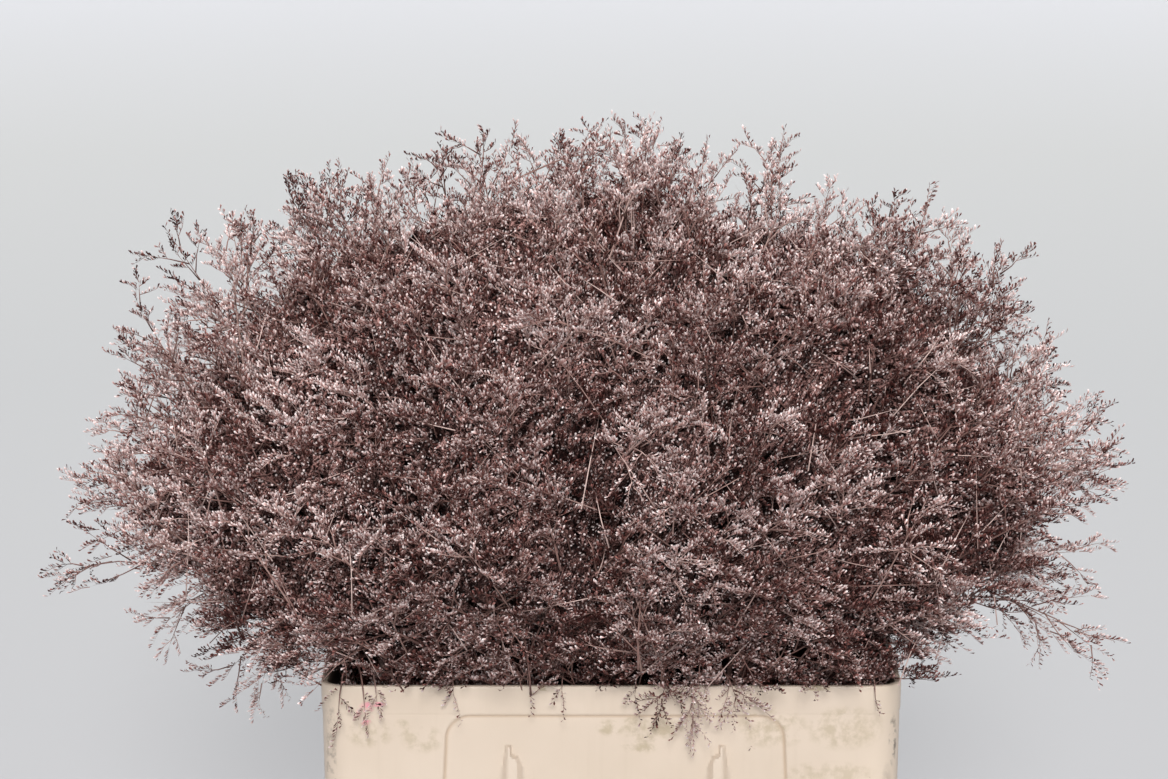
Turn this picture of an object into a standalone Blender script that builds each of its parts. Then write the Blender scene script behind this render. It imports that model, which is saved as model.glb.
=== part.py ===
"""Dried statice: ten bunches of cut stems standing in a plastic flower container.

Metres, +Z up. The origin is the middle of the container's base, and its front faces -Y.
The container is one moulded tub. Each bunch is one body: its cut stems stand in the tub,
the tangle of twigs inside its head is a core, and flowering sprays stand out of that core.
The head as a whole is a rounded mound that spreads past the rim on every side. It is shared
out between the bunches by planes, so that no bunch reaches into its neighbour.
"""

import math
import random

import bmesh
import bpy
from mathutils import Vector
from mathutils.bvhtree import BVHTree

# Container, outside sizes
CONTAINER_WIDTH = 0.400
CONTAINER_DEPTH = 0.300
CONTAINER_HEIGHT = 0.320
CONTAINER_DRAFT = 0.006  # how much narrower each side is at the base
CORNER_RADIUS = 0.019
CORNER_STEPS = 4
WALL = 0.0035
RIM_WALL = 0.0048
RIM_BAND = 0.020
RIM_STEP = 0.0005
RIM_ROUND = 0.0015
BASE_ROUND = 0.008

# Recessed panel and upright ribs on the front and back
PANEL_WIDTH = 0.232
PANEL_SHIFT = 0.0027  # the panel and its ribs are a little right of the middle
PANEL_FLARE = 0.010  # how much wider each side is at the bottom
PANEL_TOP_DROP = 0.021
PANEL_HEIGHT = 0.215
PANEL_RADIUS = 0.016
PANEL_RECESS = 0.0018
PANEL_DRAFT = 0.03
PANEL_CLEAR = 0.004  # the cutter starts this far outside the face
RIB_OUTER = 0.0743  # from the panel's middle to the outer edge of a rib's face
RIB_FACE = 0.0071
RIB_TOP_DROP = 0.050
# Levels of a rib: up from its top, how far its root spreads past its face on the outer side,
# how wide its face is, how far the root spreads on the inner side, how far it stands proud
RIB_LEVELS = (
    (0.0070, 0.0022, 0.0022, 0.0008, 0.0025),
    (0.0005, 0.0032, 0.0025, 0.0010, 0.0035),
    (-0.0015, 0.0034, 0.0060, 0.0026, 0.0038),
    (-0.0060, 0.0040, RIB_FACE, 0.0040, 0.0045),
    (-0.0300, 0.0078, RIB_FACE, 0.0072, 0.0080),
    (-0.0850, 0.0084, RIB_FACE, 0.0078, 0.0084),
    (-0.0950, 0.0060, RIB_FACE, 0.0056, 0.0010),
)

# Head of the statice, as a rounded mound above the rim
RIM = CONTAINER_HEIGHT
HEAD_SHIFT = -0.008  # the mound leans a little to the left
HEAD_HALF_WIDTH = 0.345
HEAD_HALF_DEPTH = 0.300
HEAD_HEIGHT = 0.326
HEAD_POWER = 2.35  # 2 is an ellipsoid, more is squarer
MOUTH_HALF_WIDTH = 0.188
MOUTH_HALF_DEPTH = 0.138
MOUTH_FLARE_X = 2.70  # metres out for each metre up, over the rim
MOUTH_FLARE_Y = 1.70
CORE_DEPTH = 0.042  # the core's low points lie this far inside the head
CORE_FOOT = 0.018  # the core reaches this far below the rim
CORE_CENTRE_RISE = 0.030
CORE_POINTS = 900
CORE_SIDE_POINTS = 44
TUFT_RISE = (0.018, 0.036)

# Bunches stand in five columns, left to right, and two rows, front and back. Each edge between
# two columns is where their parting plane is at waist height, and how it leans in degrees
WAIST_HEIGHT = 0.200
COLUMN_EDGES = ((-0.090, -32.0), (-0.034, -12.0), (0.034, 12.0), (0.090, 32.0))
COLUMNS = len(COLUMN_EDGES) + 1
ROWS = {"front": -1, "back": 1}
CORE_CLEARANCE = 0.0015  # from a parting plane to a core
TWIG_CLEARANCE = 0.0035  # from a parting plane to the middle of a twig
TWIG_MARGIN = 0.004  # how much further a spray's curve is kept away
RIM_GAP = 0.006  # from the rim to the middle of a twig
SNAP_OUTSIDE = 0.014
SNAP_INSIDE = 0.007
LEAST_SPACING = 0.009

# Stems
STEMS_PER_BUNCH = 4
STEM_RADIUS = 0.0026
STEM_REST_GAP = 0.0003
STEM_FOOT_HALF_WIDTH = 0.182
STEM_FOOT_INSET = 0.010
STEM_FOOT_DEPTH = (0.030, 0.105)
STEM_NECK_HALF_WIDTH = 0.150
STEM_NECK_DEPTH = (0.044, 0.096)
STEM_NECK_DROP = 0.030
STEM_TOP_DEPTH = (0.054, 0.106)
STEM_TOP_RISE = 0.020
STEM_FAN = 0.013

# Sprays
SIDES = 3
STALK_ROOT_RADIUS = 0.0019
STALK_TIP_RADIUS = 0.0011
ROOT_COVER = 0.007
SPRAY_POINTS = 230
SPRAY_SINK = 0.016
SPRAY_LENGTH = (0.056, 0.086)
SPRAY_BARE = 0.30
SPRAY_SEGMENTS = 3
SPRAY_WANDER = 0.28
LONG_LENGTH = 0.110
LONG_BARE = 0.40
LONG_SEGMENTS = 4
SIDE_SPIKES = ((0.52, 0.058), (0.74, 0.042))  # share of the long spray's length, own length
SIDE_BARE = 0.25
SIDE_SEGMENTS = 2
SIDE_BEND = 0.003
LIFT_STEP = 0.012
LIFTS = 8
FLORET_RISE = 0.0085
FLORET_LEAN = 0.0075
GOLDEN_ANGLE = math.pi * (3 - math.sqrt(5))
SEED = 27

# Tips of the long sprays that break the outline, in turn before and behind the middle: across,
# above the rim, and how far the spray arches over a straight line
LONG_OFFSET = 0.034
LONG_TIPS = (
    (0.012, 0.381, 0.000),
    (0.026, 0.376, 0.000),
    (-0.021, 0.366, 0.002),
    (-0.056, 0.362, 0.002),
    (-0.104, 0.330, 0.000),
    (-0.147, 0.340, 0.002),
    (-0.199, 0.342, 0.002),
    (-0.230, 0.330, 0.000),
    (-0.284, 0.306, -0.004),
    (-0.321, 0.297, 0.002),
    (-0.344, 0.263, -0.012),
    (-0.354, 0.218, -0.006),
    (-0.375, 0.135, -0.004),
    (-0.392, 0.110, 0.006),
    (-0.399, 0.066, 0.016),
    (-0.347, 0.004, 0.024),
    (-0.296, -0.016, 0.024),
    (0.044, 0.356, 0.000),
    (0.072, 0.357, 0.000),
    (0.119, 0.343, 0.002),
    (0.157, 0.335, 0.002),
    (0.207, 0.318, 0.004),
    (0.229, 0.320, 0.016),
    (0.262, 0.275, 0.002),
    (0.285, 0.290, -0.004),
    (0.323, 0.203, 0.002),
    (0.354, 0.175, 0.002),
    (0.370, 0.130, 0.004),
    (0.350, 0.080, 0.012),
    (0.332, 0.045, 0.012),
    (0.368, 0.001, 0.022),
    (0.344, -0.004, 0.024),
)


def clear_scene():
    for old in list(bpy.data.objects):
        bpy.data.objects.remove(old)


def material(name, colour, roughness):
    """A Principled material with one colour, roughness and no metal."""
    made = bpy.data.materials.new(name)
    made.use_nodes = True
    shader = made.node_tree.nodes["Principled BSDF"]
    shader.inputs["Base Color"].default_value = (*colour, 1.0)
    shader.inputs["Roughness"].default_value = roughness
    shader.inputs["Metallic"].default_value = 0.0
    return made


def mesh_object(name, points, faces, finish=None, collection=None):
    mesh = bpy.data.meshes.new(name)
    mesh.from_pydata([tuple(p) for p in points], [], faces)
    mesh.validate()
    made = bpy.data.objects.new(name, mesh)
    (collection or bpy.context.scene.collection).objects.link(made)
    if finish:
        mesh.materials.append(finish)
    return made


def hide_helper(helper):
    helper.hide_render = True
    helper.display_type = "WIRE"


# Container


def rounded_ring(half_x, half_y, radius, z):
    """Points round a rectangle with round corners, anticlockwise from above."""
    ring = []
    for quarter in range(4):
        sign_x = 1 if quarter in (0, 3) else -1
        sign_y = 1 if quarter in (0, 1) else -1
        centre = Vector((sign_x * (half_x - radius), sign_y * (half_y - radius), z))
        for step in range(CORNER_STEPS + 1):
            angle = (quarter + step / CORNER_STEPS) * math.pi / 2
            ring.append(centre + radius * Vector((math.cos(angle), math.sin(angle), 0)))
    return ring


def wall_ring(inset, z):
    """A ring of the tub at a height, moved in from the drafted outside by inset."""
    draft = CONTAINER_DRAFT * (1 - z / CONTAINER_HEIGHT)
    half_x = CONTAINER_WIDTH / 2 - draft - inset
    half_y = CONTAINER_DEPTH / 2 - draft - inset
    return rounded_ring(half_x, half_y, CORNER_RADIUS - inset, z)


def tub_rings():
    """The tub's section as rings, from the base up the outside and down the inside."""
    top = CONTAINER_HEIGHT
    band_foot = top - RIM_BAND
    lip_foot = top - 2 * RIM_WALL
    return [
        wall_ring(BASE_ROUND + RIM_STEP, 0),
        wall_ring(0.3 * BASE_ROUND + RIM_STEP, 0.3 * BASE_ROUND),
        wall_ring(RIM_STEP, BASE_ROUND),
        wall_ring(RIM_STEP, band_foot),
        wall_ring(0, band_foot + RIM_STEP),
        wall_ring(0, top - RIM_ROUND),
        wall_ring(RIM_ROUND, top),
        wall_ring(RIM_WALL - RIM_ROUND, top),
        wall_ring(RIM_WALL, top - RIM_ROUND),
        wall_ring(RIM_WALL, lip_foot),
        wall_ring(RIM_STEP + WALL, lip_foot - RIM_WALL),
        wall_ring(RIM_STEP + WALL, BASE_ROUND),
        wall_ring(BASE_ROUND + RIM_STEP, WALL),
    ]


def panel_outline():
    """The recessed panel's outline seen from the front: wider at the foot, round corners."""
    top = CONTAINER_HEIGHT - PANEL_TOP_DROP
    half_top = PANEL_WIDTH / 2
    half_foot = half_top + PANEL_FLARE
    corners = (
        (half_foot, top - PANEL_HEIGHT, -90),
        (half_top, top, 0),
        (-half_top, top, 90),
        (-half_foot, top - PANEL_HEIGHT, 180),
    )
    outline = []
    for x, z, start in corners:
        centre_x = x - math.copysign(PANEL_RADIUS, x)
        centre_z = z + (PANEL_RADIUS if z < top else -PANEL_RADIUS)
        for step in range(CORNER_STEPS + 1):
            angle = math.radians(start + 90 * step / CORNER_STEPS)
            along = centre_x + PANEL_RADIUS * math.cos(angle)
            outline.append((along, centre_z + PANEL_RADIUS * math.sin(angle)))
    return outline


def face_depth(z):
    """How far the front face is from the middle at a height."""
    draft = CONTAINER_DRAFT * (1 - z / CONTAINER_HEIGHT)
    return CONTAINER_DEPTH / 2 - draft - RIM_STEP


def prism_between(name, near, far):
    """A closed solid between two outlines that have the same number of points."""
    count = len(near)
    faces = [list(range(count)), list(range(2 * count - 1, count - 1, -1))]
    for i in range(count):
        j = (i + 1) % count
        faces.append([i, i + count, j + count, j])
    helper = mesh_object(name, near + far, faces)
    fix_normals(helper)
    hide_helper(helper)
    return helper


def fix_normals(thing):
    shape = bmesh.new()
    shape.from_mesh(thing.data)
    bmesh.ops.recalc_face_normals(shape, faces=shape.faces)
    shape.to_mesh(thing.data)
    shape.free()


def panel_cutter(side):
    """What is cut from one face for its panel; side is -1 for the front, 1 for the back."""
    outline = panel_outline()
    shift = -side * PANEL_SHIFT
    wider = 1 + PANEL_DRAFT
    near = [Vector((shift + x * wider, side * (face_depth(z) + PANEL_CLEAR), z)) for x, z in outline]
    far = [Vector((shift + x, side * (face_depth(z) - PANEL_RECESS), z)) for x, z in outline]
    return prism_between(f"panel_cutter_{side}", near, far)


def rib_solid(side, hand):
    """One upright rib: it stands out more further down, and a thin fin tops its outer edge."""
    top = CONTAINER_HEIGHT - RIB_TOP_DROP
    points = []
    for up, spread_out, face, spread_in, proud in RIB_LEVELS:
        z = top + up
        panel = face_depth(z) - PANEL_RECESS
        section = (
            (RIB_OUTER + spread_out, panel - WALL / 2),
            (RIB_OUTER, panel + proud),
            (RIB_OUTER - face, panel + proud),
            (RIB_OUTER - face - spread_in, panel - WALL / 2),
        )
        points += [Vector((hand * x - side * PANEL_SHIFT, side * y, z)) for x, y in section]
    faces = [[0, 1, 2, 3], [len(points) - 1 - i for i in range(4)]]
    for low in range(0, len(points) - 4, 4):
        for i in range(4):
            j = (i + 1) % 4
            faces.append([low + i, low + 4 + i, low + 4 + j, low + j])
    helper = mesh_object(f"rib_{side}_{hand}", points, faces)
    fix_normals(helper)
    hide_helper(helper)
    return helper


def add_boolean(thing, helper, operation):
    cut = thing.modifiers.new(helper.name, "BOOLEAN")
    cut.operation = operation
    cut.object = helper
    cut.solver = "EXACT"


def build_container(finish):
    rings = tub_rings()
    count = len(rings[0])
    faces = [list(range(count))[::-1]]
    for level in range(len(rings) - 1):
        low, high = level * count, (level + 1) * count
        for i in range(count):
            j = (i + 1) % count
            faces.append([low + i, low + j, high + j, high + i])
    faces.append([(len(rings) - 1) * count + i for i in range(count)])
    tub = mesh_object("container", [p for ring in rings for p in ring], faces, finish)
    fix_normals(tub)
    for side in (-1, 1):
        add_boolean(tub, panel_cutter(side), "DIFFERENCE")
        for hand in (-1, 1):
            add_boolean(tub, rib_solid(side, hand), "UNION")
    tub.data.shade_smooth()
    tub.data.set_sharp_from_angle(angle=math.radians(35))
    return tub


# How the head is shared out between the bunches


def column_limits(column, clearance):
    """Half spaces (normal, least distance) between this column's two leaning planes."""
    limits = []
    for edge, facing in ((column - 1, 1), (column, -1)):
        if 0 <= edge < len(COLUMN_EDGES):
            across, lean = COLUMN_EDGES[edge]
            normal = Vector((1, 0, -math.tan(math.radians(lean)))).normalized() * facing
            foot = Vector((across, 0, WAIST_HEIGHT))
            limits.append((normal, normal.dot(foot) + clearance))
    return limits


def bunch_limits(column, row, clearance):
    """All the planes that part one bunch from its neighbours; row is -1 front, 1 back."""
    return column_limits(column, clearance) + [(Vector((0, row, 0)), clearance)]


def mouth_limits():
    """Planes that flare from the container's mouth, and the foot of the cores."""
    limits = [(Vector((0, 0, 1)), RIM - CORE_FOOT)]
    for sign in (-1, 1):
        for way, half, flare in (
            (Vector((-sign, 0, 0)), MOUTH_HALF_WIDTH, MOUTH_FLARE_X),
            (Vector((0, -sign, 0)), MOUTH_HALF_DEPTH, MOUTH_FLARE_Y),
        ):
            slope = way + Vector((0, 0, flare))
            limits.append((slope.normalized(), (flare * RIM - half) / slope.length))
    return limits


def inside(point, limits):
    return all(normal.dot(point) >= least for normal, least in limits)


def head_value(point, depth):
    """Below 1 inside the mound, with its surface moved in by depth."""
    x = abs(point.x - HEAD_SHIFT) / (HEAD_HALF_WIDTH - depth)
    y = abs(point.y) / (HEAD_HALF_DEPTH - depth)
    z = max(point.z - RIM, 0) / (HEAD_HEIGHT - depth)
    return x**HEAD_POWER + y**HEAD_POWER + z**HEAD_POWER


def plane_reach(origin, direction, limits):
    """How far a ray runs before it meets one of the planes."""
    reach = 2.0
    for normal, least in limits:
        closing = -normal.dot(direction)
        if closing > 1e-6:
            reach = min(reach, (normal.dot(origin) - least) / closing)
    return reach


def head_reach(origin, direction, depth):
    """How far a ray runs before it leaves the mound, by halving."""
    near, far = 0.0, 1.0
    for _ in range(40):
        middle = (near + far) / 2
        if head_value(origin + direction * middle, depth) < 1:
            near = middle
        else:
            far = middle
    return near


def sphere_direction(index, count):
    """The index-th of count directions spread evenly over a sphere."""
    height = 1 - (2 * index + 1) / count
    across = math.sqrt(1 - height * height)
    angle = index * GOLDEN_ANGLE
    return Vector((across * math.cos(angle), across * math.sin(angle), height))


def head_points(count, depth):
    """Points spread over the mound and its underside."""
    centre = Vector((0, 0, RIM + 2 * CORE_CENTRE_RISE))
    limits = mouth_limits()
    points = []
    for index in range(count):
        direction = sphere_direction(index, count)
        reach = min(plane_reach(centre, direction, limits), head_reach(centre, direction, depth))
        points.append(centre + direction * reach)
    return points


# Bunches


def bunch_centre(column, row):
    """A point inside the bunch's head, low down, from which its core is drawn."""
    height = RIM + CORE_CENTRE_RISE
    flare = MOUTH_HALF_WIDTH + MOUTH_FLARE_X * CORE_CENTRE_RISE
    sides = [-flare]
    for across, lean in COLUMN_EDGES:
        sides.append(across + (height - WAIST_HEIGHT) * math.tan(math.radians(lean)))
    sides.append(flare)
    depth = MOUTH_HALF_DEPTH + MOUTH_FLARE_Y * CORE_CENTRE_RISE
    return Vector(((sides[column] + sides[column + 1]) / 2, row * depth / 2, height))


def snapped(point, limits):
    """A point near one of the planes is put just inside it, so that the core has full edges."""
    for normal, least in limits:
        beyond = normal.dot(point) - least
        if -SNAP_OUTSIDE < beyond < SNAP_INSIDE:
            point = point - normal * (beyond - 1e-6)
    return point


def thinned(points):
    """The points without those that are too close to an earlier one."""
    kept = []
    for point in points:
        if all((point - other).length > LEAST_SPACING for other in kept):
            kept.append(point)
    return kept


def core_rays(centre, own, surface):
    """Directions and distances from the core's middle to its outer points, then to its sides."""
    outer = thinned([p for p in (snapped(p, own) for p in surface) if inside(p, own)])
    rays = [((p - centre).normalized(), (p - centre).length) for p in outer]
    highs = [p.z > RIM + CORE_CENTRE_RISE for p in outer]
    limits = own + mouth_limits()
    for index in range(CORE_SIDE_POINTS):
        direction = sphere_direction(index, CORE_SIDE_POINTS)
        to_side = plane_reach(centre, direction, limits)
        if to_side < head_reach(centre, direction, CORE_DEPTH):
            rays.append((direction, to_side))
            highs.append(False)
    return rays, highs


def core_mesh(name, column, row, surface, dice):
    """The tangle inside one bunch's head: a closed body with some outer points raised in tufts.

    The rays' ends are joined up as the corners of a convex ball, and each is then put at its
    own distance from the middle. No two tufts are neighbours.
    """
    centre = bunch_centre(column, row)
    own = bunch_limits(column, row, CORE_CLEARANCE)
    rays, highs = core_rays(centre, own, surface)
    shape = bmesh.new()
    corners = [shape.verts.new(direction) for direction, _ in rays]
    shape.verts.index_update()
    hull = bmesh.ops.convex_hull(shape, input=corners)
    spare = dict.fromkeys(v for v in hull["geom_interior"] + hull["geom_unused"] if v in corners)
    bmesh.ops.delete(shape, geom=list(spare), context="VERTS")
    raised = set()
    for corner in shape.verts:
        index = corners.index(corner)
        direction, reach = rays[index]
        neighbours = {edge.other_vert(corner) for edge in corner.link_edges}
        if highs[index] and not neighbours & raised:
            taller = reach + dice.uniform(*TUFT_RISE)
            if inside(centre + direction * taller, own):
                reach = taller
                raised.add(corner)
        corner.co = centre + direction * reach
    bmesh.ops.recalc_face_normals(shape, faces=shape.faces)
    mesh = bpy.data.meshes.new(name)
    shape.to_mesh(mesh)
    shape.free()
    core = bpy.data.objects.new(name, mesh)
    bpy.context.scene.collection.objects.link(core)
    return core


def ring_round(point, along, across, radius):
    """A ring of a stalk: three points round it, level with the direction across."""
    first = (across - along * across.dot(along)).normalized()
    second = along.cross(first)
    angles = [2 * math.pi * side / SIDES for side in range(SIDES)]
    return [point + (first * math.cos(a) + second * math.sin(a)) * radius for a in angles]


def path_rings(path, radii):
    """Rings along a path, all turned the same way so that no face twists."""
    across = (path[-1] - path[0]).normalized().orthogonal()
    rings = []
    for i, point in enumerate(path):
        along = (path[min(i + 1, len(path) - 1)] - path[max(i - 1, 0)]).normalized()
        rings.append(ring_round(point, along, across, radii[i]))
    return rings


def stem(name, path, collection):
    """A cut stem: a three-sided rod whose foot is level with the floor it stands on."""
    rings = path_rings(path, [STEM_RADIUS] * len(path))
    for point in rings[0]:
        point.z = path[0].z
    last = (len(path) - 1) * SIDES
    faces = [[2, 1, 0], [last, last + 1, last + 2]]
    for i in range(len(path) - 1):
        for side in range(SIDES):
            after = (side + 1) % SIDES
            low, high = i * SIDES, (i + 1) * SIDES
            faces.append([low + side, low + after, high + after, high + side])
    mesh_object(name, [p for ring in rings for p in ring], faces, collection=collection)


def curve_point(ends, t):
    """A point on the curve with one control point between its ends."""
    root, control, tip = ends
    return root * (1 - t) ** 2 + control * 2 * t * (1 - t) + tip * t**2


def in_clear(point, limits):
    """True where a twig is in its own bunch's space and clear of the container."""
    over_rim = point.z > RIM + RIM_GAP
    outside_x = abs(point.x) > CONTAINER_WIDTH / 2 + RIM_GAP
    outside_y = abs(point.y) > CONTAINER_DEPTH / 2 + RIM_GAP
    in_mouth = abs(point.x) < MOUTH_HALF_WIDTH and abs(point.y) < MOUTH_HALF_DEPTH
    return inside(point, limits) and (over_rim or outside_x or outside_y or in_mouth)


def root_in_core(tree, centre, ends):
    """The same curve with its root moved towards the core's middle until it is well inside."""
    skyward = Vector((0.013, 0.021, 1)).normalized()
    for share in range(0, 100, 5):
        start = ends[0].lerp(centre, share / 100)
        origin, crossings = start, 0
        while True:
            hit = tree.ray_cast(origin, skyward)[0]
            if hit is None:
                break
            crossings += 1
            origin = hit + skyward * 1e-5
        if crossings % 2 and tree.find_nearest(start)[3] > ROOT_COVER:
            return start, ends[1], ends[2]
    return centre, ends[1], ends[2]


def pushed_inside(point, limits):
    """The nearest point that keeps a margin from every plane."""
    for normal, least in limits:
        short = least + TWIG_MARGIN - normal.dot(point)
        if short > 0:
            point = point + normal * short
    return point


def spike(name, ends, bare, segments, limits, collection, dice):
    """A flowering spike: a three-sided stalk whose faces are drawn out into pointed florets.

    The stalk is bare at its foot. Beyond that, two of the three faces of every segment rise
    to a point that leans forward, and the third face stays flat.
    """
    shares = [0, bare] + [bare + (1 - bare) * (i + 1) / segments for i in range(segments)]
    path = [curve_point(ends, t) for t in shares]
    spread = STALK_ROOT_RADIUS - STALK_TIP_RADIUS
    rings = path_rings(path, [STALK_ROOT_RADIUS - spread * t for t in shares])
    points = [p for ring in rings for p in ring]
    faces = [[2, 1, 0]]
    flat = dice.randrange(SIDES)
    for i in range(len(path) - 1):
        low, high = i * SIDES, (i + 1) * SIDES
        along = (path[i + 1] - path[i]).normalized()
        for side in range(SIDES):
            after = (side + 1) % SIDES
            corners = [low + side, low + after, high + after, high + side]
            middle = sum((points[c] for c in corners), Vector()) / 4
            out = (middle - (path[i] + path[i + 1]) / 2).normalized()
            size = dice.uniform(0.8, 1.2)
            apex = middle + (out * FLORET_RISE + along * FLORET_LEAN) * size
            if i == 0 or side == (flat + i) % SIDES or not in_clear(apex, limits):
                faces.append(corners)
                continue
            points.append(apex)
            for c in range(4):
                faces.append([corners[c], corners[(c + 1) % 4], len(points) - 1])
    last = (len(path) - 1) * SIDES
    points.append(path[-1] + (path[-1] - path[-2]).normalized() * FLORET_LEAN)
    for side in range(SIDES):
        faces.append([last + side, last + (side + 1) % SIDES, len(points) - 1])
    mesh_object(name, points, faces, collection=collection)


def fitted(ends, limits):
    """The curve kept in its bunch's space, and arched higher until it clears the rim, or None."""
    root, control, tip = ends[0], pushed_inside(ends[1], limits), pushed_inside(ends[2], limits)
    for lift in range(LIFTS):
        raised = root, control + Vector((0, 0, LIFT_STEP * lift)), tip
        if all(in_clear(curve_point(raised, step / 12), limits) for step in range(1, 13)):
            return raised
    return None


def side_spikes(name, ends, limits, collection, dice):
    """The shorter spikes that leave a long spray, on opposite sides of it."""
    along = (ends[2] - ends[0]).normalized()
    across = along.orthogonal().normalized()
    roll = dice.uniform(0, 2 * math.pi)
    for i, (share, length) in enumerate(SIDE_SPIKES):
        angle = roll + math.pi * i
        side = across * math.cos(angle) + along.cross(across) * math.sin(angle)
        start = curve_point(ends, share)
        tip = start + (along * 0.8 + side * 0.6) * length
        if in_clear(tip, limits):
            curve = start, (start + tip) / 2 + side * SIDE_BEND, tip
            spike(f"{name}_side_{i}", curve, SIDE_BARE, SIDE_SEGMENTS, limits, collection, dice)


def bunch_of(point):
    """The column and row whose space holds a point."""
    for column in range(COLUMNS):
        if inside(point, column_limits(column, 0)):
            return column, (-1 if point.y < 0 else 1)
    return COLUMNS // 2, 1


def outward(point):
    """The way a twig grows at a point of the head: away from a spot inside the mouth."""
    return (point - Vector((point.x * 0.25, point.y * 0.25, RIM - 0.09))).normalized()


def long_spray(index):
    """One of the long sprays as the three points of its curve."""
    across, above, arch = LONG_TIPS[index]
    behind = LONG_OFFSET if index % 2 else -LONG_OFFSET
    tip = Vector((across, behind, RIM + above))
    root = tip - outward(tip) * LONG_LENGTH
    return root, (root + tip) / 2 + Vector((0, 0, 2 * arch)), tip - outward(tip) * FLORET_LEAN


def short_spray(point, dice):
    """A spray that stands out of the head at a point of its surface."""
    wander = Vector([dice.uniform(-SPRAY_WANDER, SPRAY_WANDER) for _ in range(3)])
    heading = (outward(point) + wander).normalized()
    root = point - heading * SPRAY_SINK
    tip = root + heading * dice.uniform(*SPRAY_LENGTH)
    return root, (root + tip) / 2 + Vector((0, 0, dice.uniform(-0.004, 0.008))), tip


def plan_sprays(dice):
    """Every spray as (bunch, the three points of its curve, whether it is a long one)."""
    planned = []
    for index in range(len(LONG_TIPS)):
        ends = long_spray(index)
        planned.append((bunch_of(ends[2]), ends, True))
    for point in head_points(SPRAY_POINTS, CORE_DEPTH):
        if point.z > RIM + CORE_CENTRE_RISE:
            planned.append((bunch_of(point), short_spray(point, dice), False))
    return planned


def between(limits, share):
    return limits[0] + (limits[1] - limits[0]) * share


def stem_paths(column, row, dice):
    """Cut stems from the container's floor, through its mouth, into the bunch's core."""
    centre = bunch_centre(column, row)
    edges = [-STEM_FOOT_HALF_WIDTH] + [across for across, _ in COLUMN_EDGES] + [STEM_FOOT_HALF_WIDTH]
    feet = edges[column] + STEM_FOOT_INSET, edges[column + 1] - STEM_FOOT_INSET
    mouth_x = max(min(centre.x, STEM_NECK_HALF_WIDTH), -STEM_NECK_HALF_WIDTH)
    paths = []
    for i in range(STEMS_PER_BUNCH):
        share = (i + 0.5) / STEMS_PER_BUNCH
        fan = (share - 0.5) * STEM_FAN
        foot_y = row * between(STEM_FOOT_DEPTH, dice.random())
        neck_y = row * between(STEM_NECK_DEPTH, share)
        top_y = row * between(STEM_TOP_DEPTH, share)
        foot = Vector((between(feet, share), foot_y, WALL + STEM_REST_GAP))
        neck = Vector((mouth_x + fan, neck_y, RIM - STEM_NECK_DROP))
        top = Vector((centre.x + fan, top_y, centre.z + STEM_TOP_RISE))
        paths.append([foot, neck, top])
    return paths


def fuse(name, core, collection, finish):
    """Joins all of a bunch's pieces into its core, as one closed body."""
    for piece in list(collection.objects):
        hide_helper(piece)
    join = core.modifiers.new("join", "BOOLEAN")
    join.operand_type = "COLLECTION"
    join.collection = collection
    join.operation = "UNION"
    join.solver = "MANIFOLD"
    bpy.context.view_layer.update()
    graph = bpy.context.evaluated_depsgraph_get()
    joined = bpy.data.meshes.new_from_object(core.evaluated_get(graph))
    joined.name = name
    joined.materials.clear()
    joined.materials.append(finish)
    bunch = bpy.data.objects.new(name, joined)
    bpy.context.scene.collection.objects.link(bunch)
    for piece in list(collection.objects) + [core]:
        bpy.data.objects.remove(piece)
    bpy.data.collections.remove(collection)
    return bunch


def build_bunch(name, column, row, surface, sprays, finish, dice):
    """One bunch: stems and sprays fused with the core they grow from."""
    core = core_mesh(name + "_core", column, row, surface, dice)
    pieces = bpy.data.collections.new(name + "_pieces")
    bpy.context.scene.collection.children.link(pieces)
    for i, path in enumerate(stem_paths(column, row, dice)):
        stem(f"{name}_stem_{i}", path, pieces)
    limits = bunch_limits(column, row, TWIG_CLEARANCE)
    corners = [v.co for v in core.data.vertices]
    tree = BVHTree.FromPolygons(corners, [p.vertices for p in core.data.polygons])
    for i, (ends, is_long) in enumerate(sprays):
        curve = fitted(root_in_core(tree, bunch_centre(column, row), ends), limits)
        if curve is None:
            continue
        if is_long:
            spike(f"{name}_long_{i}", curve, LONG_BARE, LONG_SEGMENTS, limits, pieces, dice)
            side_spikes(f"{name}_long_{i}", curve, limits, pieces, dice)
        else:
            spike(f"{name}_spray_{i}", curve, SPRAY_BARE, SPRAY_SEGMENTS, limits, pieces, dice)
    return fuse(name, core, pieces, finish)


def build_bunches(finish):
    dice = random.Random(SEED)
    surface = head_points(CORE_POINTS, CORE_DEPTH)
    planned = plan_sprays(dice)
    for row_name, row in ROWS.items():
        for column in range(COLUMNS):
            sprays = [spray[1:] for spray in planned if spray[0] == (column, row)]
            name = f"bunch_{row_name}_{column + 1}"
            bunch = build_bunch(name, column, row, surface, sprays, finish, dice)
            print(name, "has", len(bunch.data.polygons), "faces")


def main():
    clear_scene()
    build_container(material("container_polypropylene", (0.76, 0.65, 0.53), 0.45))
    build_bunches(material("dried_statice", (0.145, 0.080, 0.078), 0.55))


main()
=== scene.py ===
# %% [markdown]
# # Dried statice in its flower container
#
# Dried statice is a cloud of very small things: thousands of papery florets, each 3 to 5 mm long,
# set in rows along curved spikes that fork from thin woody twigs. Here ten bunches of it stand in
# a cream plastic tub. The eye reads the cloud by four sizes of detail, and each gets its own step:
# the mound as a whole, the flowering branches that make its lumps and dark gaps, the spikes, and
# the florets with their pale tips.
#
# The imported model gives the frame: the tub, and ten bunches whose coarse shapes are replaced here.

import math
from dataclasses import dataclass

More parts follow.
